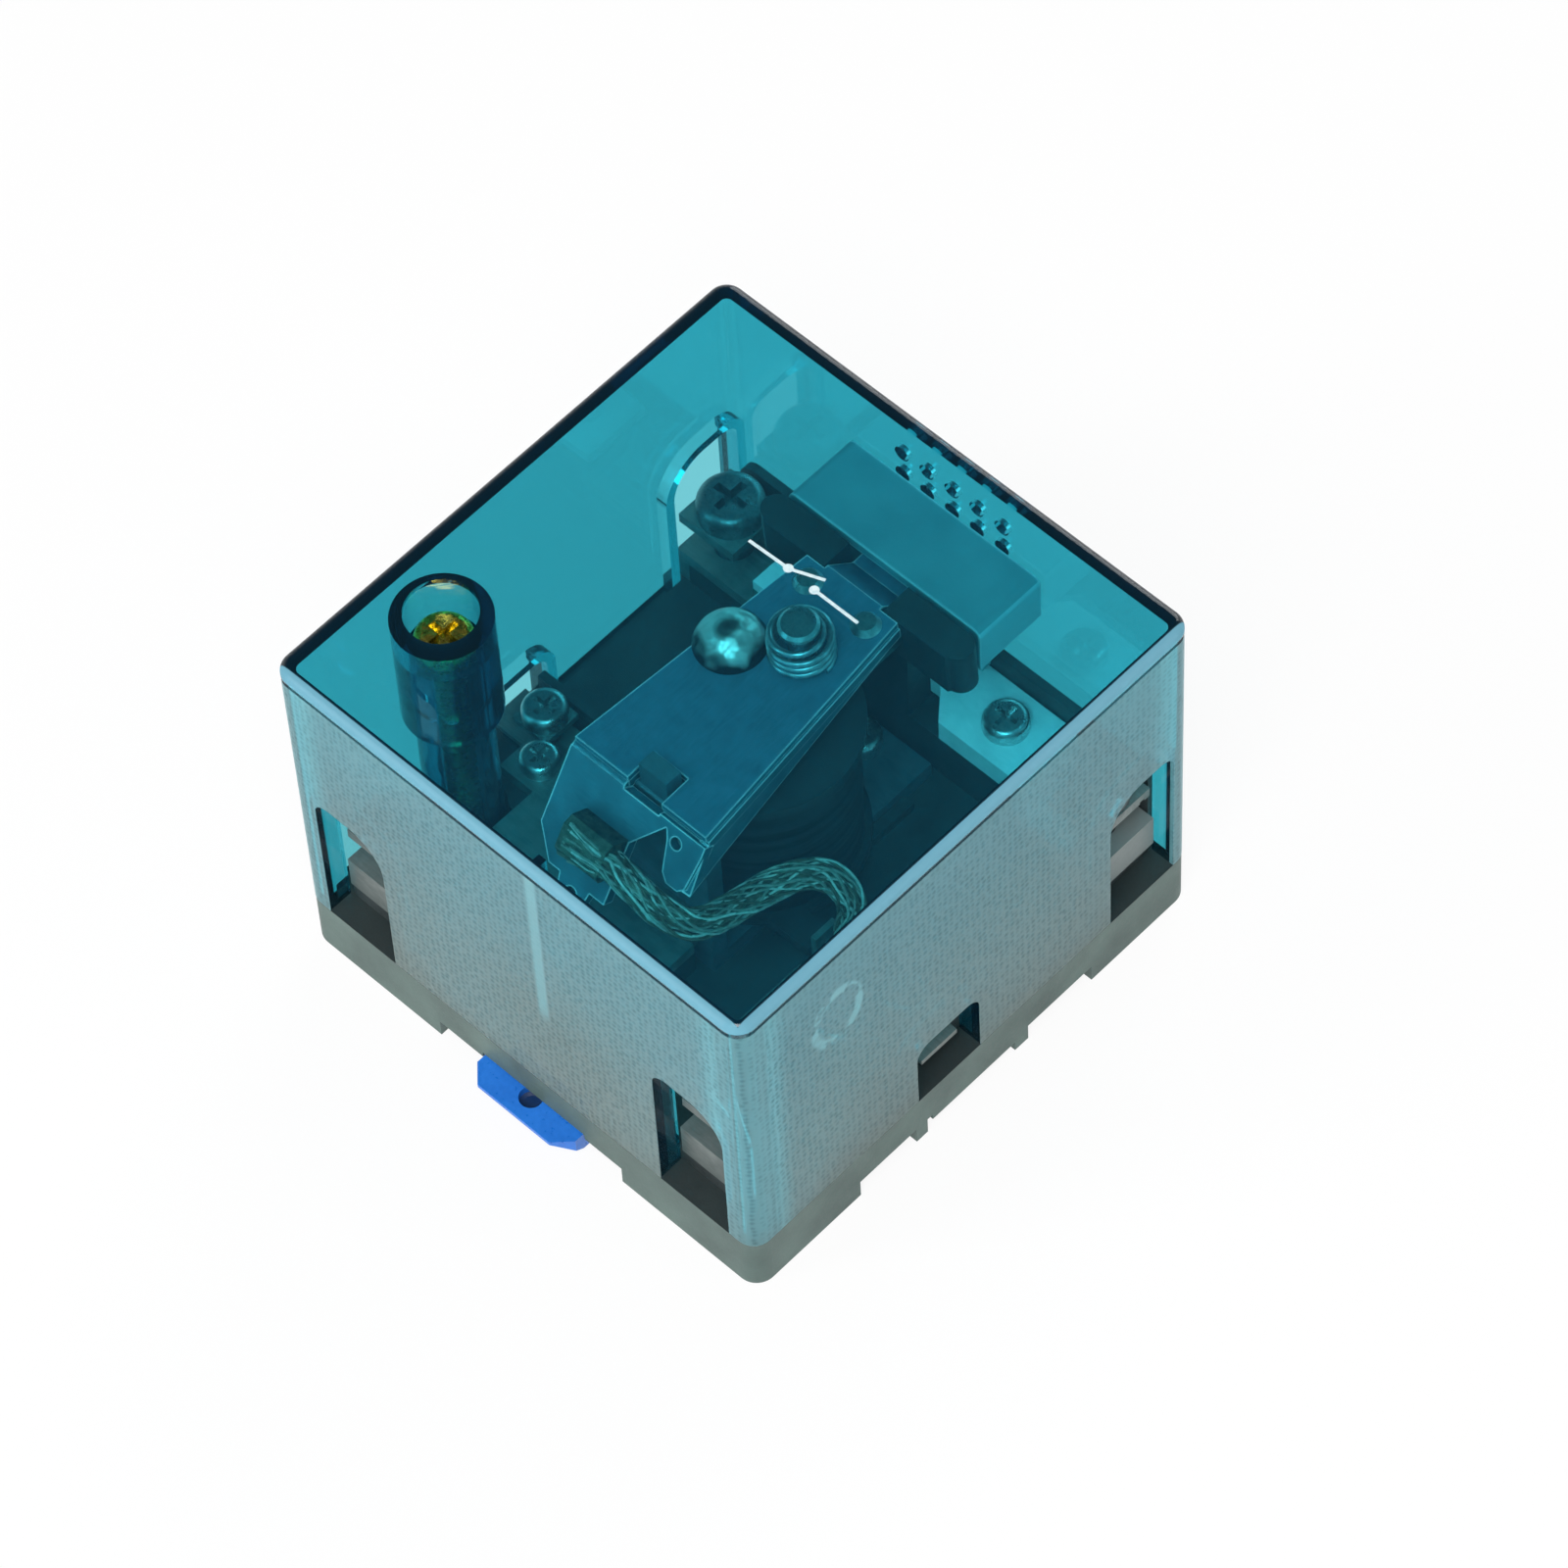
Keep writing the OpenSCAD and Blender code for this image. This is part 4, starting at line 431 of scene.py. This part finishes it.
ring_low, ring_high = (Vector(corner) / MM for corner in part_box("return_spring"))
spring_x, spring_y = -3.5, (ring_low.y + ring_high.y) / 2
loop_r, coil_r, thick, coil_turns = 1.9, 2.05, 0.35, 6
low_loop = ring_low.z + thick + loop_r
high_loop = ring_high.z - thick - loop_r
coil_low, coil_high = low_loop + loop_r + 1, high_loop - loop_r - 1
coil_steps = coil_turns * 24
pull = loop(loop_r, low_loop, 215, 540, 13)
pull += [turned(coil_r * k / 4, 7 * k - 120, coil_low - 1 + k / 4) for k in (1, 2, 3)]
pull += [turned(coil_r, i * 15 - 90, coil_low + (coil_high - coil_low) * i / coil_steps)
         for i in range(coil_steps + 1)]
pull += [turned(coil_r * k / 4, -60 - 7 * k, coil_high + 1 - k / 4) for k in (3, 2, 1)]
pull += loop(loop_r, high_loop, 0, 325, 13)
leg_spring = round_wire("leg_spring", [(spring_x + x, spring_y + y, z) for x, y, z in pull], thick)
leg_spring.data.materials.append(spring_steel)
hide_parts("return_spring")
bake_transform(leg_spring)


# Braided lead: tinned copper strands braided into a soft rope.
# It is welded to the leg at one end and pressed into its lug at the other.
# The strands lie fanned and flat over the weld.
weld_end, lug_end = (1.0, -22.47, 36.21), (21.25, -5.32, 19.2)
lead_points = [
    (1.52, -22.47, 36.21), (4.8, -22.6, 35.6), (8.6, -22.2, 33.9), (11.8, -20.2, 32), (12.6, -15.4, 30),
    (13.2, -10.3, 29), (14.6, -6.3, 29), (16.4, -3.4, 28), (18.6, -2.4, 26.2), (19.6, -2.2, 23), (20, -3.2, 20.2),
    (20.49, -4.14, 19.2), (20.98, -4.9, 19.2)
]


def smoothed(points, steps):
    line = []
    for i in range(len(points) - 1):
        a, b, c, d = (Vector(points[min(max(i + k, 0), len(points) - 1)]) for k in (-1, 0, 1, 2))
        for s in range(steps):
            t = s / steps
            line.append(0.5 * (2 * b + (c - a) * t + (2 * a - 5 * b + 4 * c - d) * t * t
                               + (3 * b - a - 3 * c + d) * t * t * t))
    return line + [Vector(points[-1])]


def strand_finish(name, dark, pale):
    finish, skin = start_finish(name, 0.42, 0.5)
    tone = speckle(finish, 0.8 * MM, 3.0)
    feed(finish, skin.inputs["Base Color"], shaded(finish, tone, [(0.3, hue(dark)), (0.75, hue(pale))]))
    relief(finish, skin, speckle(finish, 0.15 * MM), 0.006 * MM)
    return finish


lead_line = [Vector(weld_end)] + smoothed(lead_points, 9) + [Vector(lug_end)]
side = Vector((0, 0, 1))
frames = []
for i, point in enumerate(lead_line):
    along = (lead_line[min(i + 1, len(lead_line) - 1)] - lead_line[max(i - 1, 0)]).normalized()
    side = (side - side.dot(along) * along).normalized()
    frames.append((point, side.copy(), along.cross(side)))
covered = 0.0
steps_along = [0.0]
for i in range(1, len(lead_line)):
    covered += (lead_line[i] - lead_line[i - 1]).length
    steps_along.append(covered)

strand_tones = [strand_finish("tinned_strands", "8c7d72", "b4a59a"),
                strand_finish("bright_strands", "c2b0a5", "ecdfd6"),
                strand_finish("tarnished_strands", "5a473b", "846d5c")]
tone_order = (0, 1, 2, 0, 2)
strand_count, lay_length = 25, 38.0
strand_r, strand_r_swing, lay_r, under_lay, heart_r = 0.17, 0.04, 1.62, 0.14, 1.4
flat_high, flat_wide = 0.92, 1.1
leg_turn = math.radians(58.5)
leg_out = Vector((0, -math.sin(leg_turn), math.cos(leg_turn)))
leg_down = Vector((0, -math.cos(leg_turn), -math.sin(leg_turn)))
weld_rise, fan_spread = 1.7, 0.11
strands = bmesh.new()


def add_to_lead(piece, tone):
    for face in piece.data.polygons:
        face.material_index = tone
    strands.from_mesh(piece.data)
    bpy.data.objects.remove(piece)


for way in (1, -1):
    for k in range(strand_count):
        path = []
        slack = 0.12 * math.sin(2.3 * k + way) + (0.1 if k % 5 == 0 else 0.0)
        for (point, up, out), s in zip(frames, steps_along):
            lay = (k + 0.25 * way) / strand_count + way * s / lay_length
            angle = math.tau * lay + 0.16 * math.sin(0.7 * s + 2 * k)
            loose = min(1.0, s / 5, (covered - s) / 4)
            reach = lay_r - under_lay * (way < 0) + loose * slack * math.sin(0.42 * s + 1.3 * k)
            path.append(point + up * (flat_high * reach * math.cos(angle))
                        + out * (flat_wide * reach * math.sin(angle)))
        lean = path[0] - lead_line[0]
        if lean.dot(leg_out) > 0.05:
            across = lean.dot(leg_down)
            start = 5.0 + 1.0 * math.sin(1.9 * k + way)
            fanned = [lead_line[0] + Vector((-back_off, 0, 0)) + leg_down * across * (1 + fan_spread * back_off)
                      + leg_out * (weld_rise + 0.22 * math.sin(0.8 * back_off + k))
                      for back_off in (start, start * 0.6, 1.2)]
            path = fanned + path[1:]
        strand = round_wire("strand", path, strand_r + strand_r_swing * math.sin(1.7 * k + way), 6)
        add_to_lead(strand, tone_order[(3 * k + (way > 0)) % 5])
add_to_lead(round_wire("heart", [point for point, _, _ in frames], heart_r, 8), 2)
lead = settled("lead", strands)
for tone in strand_tones:
    lead.data.materials.append(tone)
for face in lead.data.polygons:
    face.use_smooth = True
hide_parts("braid")
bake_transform(lead)
dress(plating("weld_bronze", "8d8474", "5c554b", 0.5, (1, 1, 1), 1.6 * MM), "braid_weld")
dress(shaded_strip_metal, "braid_foot")


# Cover: one clear blue-green polycarbonate moulding, 1.8 mm thick, open below.
# Its walls are matte outside below the edge, and its top and corners are polished.
# On the near walls a painted highlight lights the top edge above a painted dark line of shade, and painted
# highlights mark the rib and the boss inside.
cover, cover_skin = start_finish("clear_teal_cover", 0.02)
nodes, link = cover.node_tree.nodes, cover.node_tree.links.new
cover_skin.inputs["Base Color"].default_value = (0.9, 0.97, 0.98, 1)
cover_skin.inputs["Transmission Weight"].default_value = 1.0
cover_skin.inputs["IOR"].default_value = 1.49
cover_skin.inputs["Specular IOR Level"].default_value = 0.3
dye = nodes.new("ShaderNodeVolumeAbsorption")
dye.inputs["Color"].default_value = (0.01, 0.76, 0.815, 1)
dye.inputs["Density"].default_value = 770
link(dye.outputs[0], nodes["Material Output"].inputs["Volume"])
relief(cover, cover_skin, speckle(cover, 14 * MM, 1.0), 0.006 * MM, 0.4)


def reckon(kind, *values):
    return worked(cover, kind, *values)


def both(first, second):
    return reckon("MULTIPLY", first, second)


def either(first, second):
    return reckon("MAXIMUM", first, second)


def off(value, middle):
    return reckon("ABSOLUTE", reckon("SUBTRACT", value, middle))


def fade(value, start, end):
    made = nodes.new("ShaderNodeMapRange")
    made.interpolation_type = "SMOOTHSTEP"
    made.inputs["From Min"].default_value = start
    made.inputs["From Max"].default_value = end
    link(value, made.inputs["Value"])
    return made.outputs["Result"]


def layered(share, under, over):
    made = nodes.new("ShaderNodeMixShader")
    feed(cover, made.inputs[0], share)
    link(under, made.inputs[1])
    link(over, made.inputs[2])
    return made.outputs[0]


def coloured(kind, colour):
    made = nodes.new(kind)
    feed(cover, made.inputs["Color"], colour)
    return made.outputs[0]


wall_x, wall_y = 36.9 * MM, 37.5 * MM
place = nodes.new("ShaderNodeTexCoord").outputs["Object"]
axes = nodes.new("ShaderNodeSeparateXYZ")
link(place, axes.inputs["Vector"])
at_x, at_y, high = (axes.outputs[axis] for axis in "XYZ")
far_x, far_y = reckon("ABSOLUTE", at_x), reckon("ABSOLUTE", at_y)
outside = reckon("SUBTRACT", 1.0, nodes.new("ShaderNodeNewGeometry").outputs["Backfacing"])

on_x = both(reckon("GREATER_THAN", far_x, wall_x - 0.1 * MM), fade(far_y, 35.6 * MM, 32.4 * MM))
on_y = both(reckon("GREATER_THAN", far_y, wall_y - 0.1 * MM), fade(far_x, 35.0 * MM, 31.8 * MM))
to_corner = reckon("ADD", far_x, far_y)
corner = both(reckon("GREATER_THAN", to_corner, 70.7 * MM), 0.6)
matte_top, matte_full = 54.4 * MM, 54.1 * MM
matte = both(either(either(on_x, on_y), corner), fade(high, matte_top, matte_full))

weave = nodes.new("ShaderNodeTexVoronoi")
weave.inputs["Scale"].default_value = 1 / (0.9 * MM)
weave.inputs["Randomness"].default_value = 0.35
link(place, weave.inputs["Vector"])
low_grey, high_grey, corner_painted_light = (0.50, 0.58, 0.535, 1), (0.40, 0.58, 0.59, 1), (0.46, 0.9, 0.95, 1)
wall_tone = mixed(cover, fade(high, 14 * MM, 52 * MM), low_grey, high_grey)
# Painted light: the wall tone turns pale cyan towards the vertical corners, for light passing through them.
wall_tone = mixed(cover, fade(to_corner, 66.5 * MM, 71.5 * MM), wall_tone, corner_painted_light)
dots = shaded(cover, weave.outputs["Distance"], [(0.12, (0.45, 0.5, 0.5, 1)), (0.5, (1, 1, 1, 1))])
wall_tone = mixed(cover, 1.0, wall_tone, dots, "MULTIPLY")

# Painted highlights: pale cyan marks where the inside rib and boss glint through the near walls.
rib_x, rib_foot_z = 4.3 * MM, 23.5 * MM
on_front = fade(at_y, -37.3 * MM, -37.4 * MM)
rib_glint = both(both(fade(off(at_x, rib_x), 1.1 * MM, 0.5 * MM), on_front), fade(high, rib_foot_z, 27 * MM))
boss_y, boss_z, boss_r = -22.2 * MM, 42.6 * MM, 3.6 * MM
boss_wide, boss_high = reckon("SUBTRACT", at_y, boss_y), both(reckon("SUBTRACT", high, boss_z), 0.78)
from_boss = reckon("SQRT", reckon("ADD", both(boss_wide, boss_wide), both(boss_high, boss_high)))
boss_glint = both(fade(off(from_boss, boss_r), 0.9 * MM, 0.3 * MM), fade(speckle(cover, 2.6 * MM, 2.0), 0.38, 0.52))
boss_glint = both(boss_glint, fade(at_x, 36.7 * MM, 36.85 * MM))
wall_tone = mixed(cover, either(both(rib_glint, 0.8), boss_glint), wall_tone, (0.55, 0.95, 0.98, 1))

haze = layered(0.6, coloured("ShaderNodeBsdfDiffuse", wall_tone),
               coloured("ShaderNodeBsdfTranslucent", (0.7, 0.86, 0.9, 1)))
clear = layered(0.022, cover_skin.outputs[0], coloured("ShaderNodeBsdfDiffuse", (0.0, 0.42, 0.75, 1)))
surface = layered(both(both(matte, 0.86), outside), clear, haze)

# Painted highlight: a pale band on the near top edges only.
rim_low, rim_full, rim_share = 54.95 * MM, 55.1 * MM, 0.8
highlit_rim = either(fade(at_x, 35.8 * MM, 36.0 * MM), fade(at_y, -36.4 * MM, -36.6 * MM))
painted_rim_highlight = coloured("ShaderNodeBsdfDiffuse", (0.18, 0.45, 0.58, 1))
on_rim = both(both(highlit_rim, fade(high, rim_low, rim_full)), rim_share)
surface = layered(both(on_rim, outside), surface, painted_rim_highlight)

# Painted shade: a dark line under that band on the near faces.
under_rim = both(fade(high, 54.15 * MM, 54.35 * MM), fade(high, rim_low, 54.8 * MM))
near_face = either(fade(at_x, 36.6 * MM, 36.8 * MM), fade(at_y, -37.2 * MM, -37.4 * MM))
painted_dark_line = coloured("ShaderNodeBsdfDiffuse", (0.004, 0.035, 0.05, 1))
surface = layered(both(both(both(under_rim, near_face), 0.8), outside), surface, painted_dark_line)

let_through = mixed(cover, matte, (0.97, 0.98, 0.98, 1), (0.5, 0.56, 0.57, 1))
shadow_ray = nodes.new("ShaderNodeLightPath").outputs["Is Shadow Ray"]
surface = layered(shadow_ray, surface, coloured("ShaderNodeBsdfTransparent", let_through))
link(surface, nodes["Material Output"].inputs["Surface"])
dress(cover, "cover")


# Contact sign on the cover's top: the plain symbol of a normally open contact.
# It is printed in pale ink, 0.03 mm thick, and rides on the housing.
ink, ink_skin = start_finish("pale_ink", 0.55)
ink_tone = shaded(ink, speckle(ink, 0.5 * MM), [(0.3, hue("b9d9e2")), (0.6, hue("dbeef3"))])
feed(ink, ink_skin.inputs["Base Color"], ink_tone)
ink_z, ink_thick, dot_thick, line_wide, dot_r = 56.4 + 0.014, 0.03, 0.034, 0.42, 0.62
sign = bmesh.new()


def stroke(a, b):
    a, b = Vector((*a, ink_z)), Vector((*b, ink_z))
    run = b - a
    turn = Matrix.Rotation(math.atan2(run.y, run.x), 4, "Z")
    size = Matrix.Diagonal((run.length + line_wide * 0.6, line_wide, ink_thick, 1))
    laid = Matrix.Scale(MM, 4) @ Matrix.Translation((a + b) / 2) @ turn @ size
    bmesh.ops.create_cube(sign, size=1, matrix=laid)


def dot(at):
    bmesh.ops.create_cone(sign, cap_ends=True, segments=20, radius1=dot_r * MM, radius2=dot_r * MM,
                          depth=dot_thick * MM, matrix=Matrix.Translation(Vector((*at, ink_z)) * MM))


stroke((-8.2, 11.6), (-2.2, 11.8))
stroke((-2.2, 11.8), (1.9, 13.4))
stroke((2.0, 11.6), (8.7, 11.6))
dot((-2.3, 11.8))
dot((2.0, 11.6))
contact_sign = settled("contact_sign", sign)
contact_sign.data.materials.append(ink)
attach(contact_sign, "housing")


# Cover screw: long brass screw sunk in the cover's tube.
# It is turned from bar, bright and uneven where the driver has worn it.
brass = plating("brass_screw", "ffec6a", "3c380e", 0.22, (1, 1, 1), 1.0 * MM)
relief(brass, brass.node_tree.nodes["Principled BSDF"], speckle(brass, 1.1 * MM, 2.0), 0.25 * MM)
dress(brass, "cover_screw")


# Studio: pale floor under the feet, which the eye sees as white, and a sky that is dark overhead.
# A tall lamp stands at the front left, a weaker one at the right, one behind and one near the camera.
def white_for_view(material, shader, share):
    tree = material.node_tree
    path = tree.nodes.new("ShaderNodeLightPath")
    seen = path.outputs["Is Camera Ray"]
    for kind in ("Is Glossy Ray", "Is Transmission Ray"):
        seen = worked(material, "MAXIMUM", seen, path.outputs[kind])
    white = tree.nodes.new("ShaderNodeEmission")
    mix = tree.nodes.new("ShaderNodeMixShader")
    feed(material, mix.inputs[0], worked(material, "MULTIPLY", seen, share))
    tree.links.new(shader.outputs[0], mix.inputs[1])
    tree.links.new(white.outputs[0], mix.inputs[2])
    tree.links.new(mix.outputs[0], tree.nodes["Material Output"].inputs["Surface"])


sheet = bmesh.new()
bmesh.ops.create_grid(sheet, x_segments=1, y_segments=1, size=6)
floor = settled("floor", sheet)
pale, pale_skin = start_finish("pale_floor", 0.9)
pale_skin.inputs["Base Color"].default_value = (0.93, 0.93, 0.93, 1)
pale_skin.inputs["Specular IOR Level"].default_value = 0.0
white_for_view(pale, pale_skin, 0.9)
floor.data.materials.append(pale)

world = bpy.data.worlds.new("studio")
bpy.context.scene.world = world
world.use_nodes = True
air, join = world.node_tree.nodes, world.node_tree.links.new
sky = air["Background"]
sky.inputs["Color"].default_value = (1, 1, 1, 1)
height = air.new("ShaderNodeSeparateXYZ")
join(air.new("ShaderNodeTexCoord").outputs["Generated"], height.inputs["Vector"])
dimmed = air.new("ShaderNodeMapRange")
for socket, value in (("From Min", 0.15), ("From Max", 0.7), ("To Min", 0.9), ("To Max", 0.08)):
    dimmed.inputs[socket].default_value = value
join(height.outputs["Z"], dimmed.inputs["Value"])
join(dimmed.outputs["Result"], sky.inputs["Strength"])
seen_sky = air.new("ShaderNodeBackground")
seen_sky.inputs["Color"].default_value = (1, 1, 1, 1)
sky_mix = air.new("ShaderNodeMixShader")
join(air.new("ShaderNodeLightPath").outputs["Is Camera Ray"], sky_mix.inputs[0])
join(sky.outputs[0], sky_mix.inputs[1])
join(seen_sky.outputs[0], sky_mix.inputs[2])
join(sky_mix.outputs[0], air["World Output"].inputs["Surface"])


def lamp(name, at, wide, tall, power):
    data = bpy.data.lights.new(name, "AREA")
    data.shape = "RECTANGLE"
    data.size = wide
    data.size_y = tall
    data.energy = power
    one = placed(name, data)
    one.location = at
    one.rotation_euler = (Vector((0, 0, 0.03)) - Vector(at)).to_track_quat("-Z", "Y").to_euler()
    one.visible_camera = False


lamp("key", (-0.45, -0.9, 0.5), 0.28, 1.0, 4.0)
lamp("fill", (0.95, 0.43, 0.5), 0.28, 1.0, 1.4)
lamp("back", (-0.35, 0.95, 0.55), 0.7, 0.7, 4.0)
lamp("top", (0.36, -0.53, 0.98), 0.6, 0.6, 9.5)


# Camera: it stands where the photograph was taken from, with the photograph's angle of view.
# Place, turn and focal length were solved from the edges of cover and base.
azimuth, elevation, roll = math.radians(46.651), math.radians(56.545), math.radians(-3.724)
aim, away, focal_px, photo_px = Vector((2.612, 4.293, 25.0)) * MM, 904.86 * MM, 7880.6, 1600
back = Vector((math.sin(azimuth) * math.cos(elevation), -math.cos(azimuth) * math.cos(elevation),
               math.sin(elevation)))
right = Vector((math.cos(azimuth), math.sin(azimuth), 0))
up = back.cross(right)
across = right * math.cos(roll) + up * math.sin(roll)
upward = up * math.cos(roll) - right * math.sin(roll)
stand = aim + back * away
eye = bpy.data.cameras.new("eye")
eye.sensor_width = 36
eye.lens = eye.sensor_width * focal_px / photo_px
eye.clip_start = 0.05
eye.clip_end = 50
camera = placed("camera", eye)
camera.matrix_world = Matrix((
    (across.x, upward.x, back.x, stand.x), (across.y, upward.y, back.y, stand.y),
    (across.z, upward.z, back.z, stand.z), (0, 0, 0, 1)))
bpy.context.scene.camera = camera
bpy.context.scene.view_settings.view_transform = "Standard"
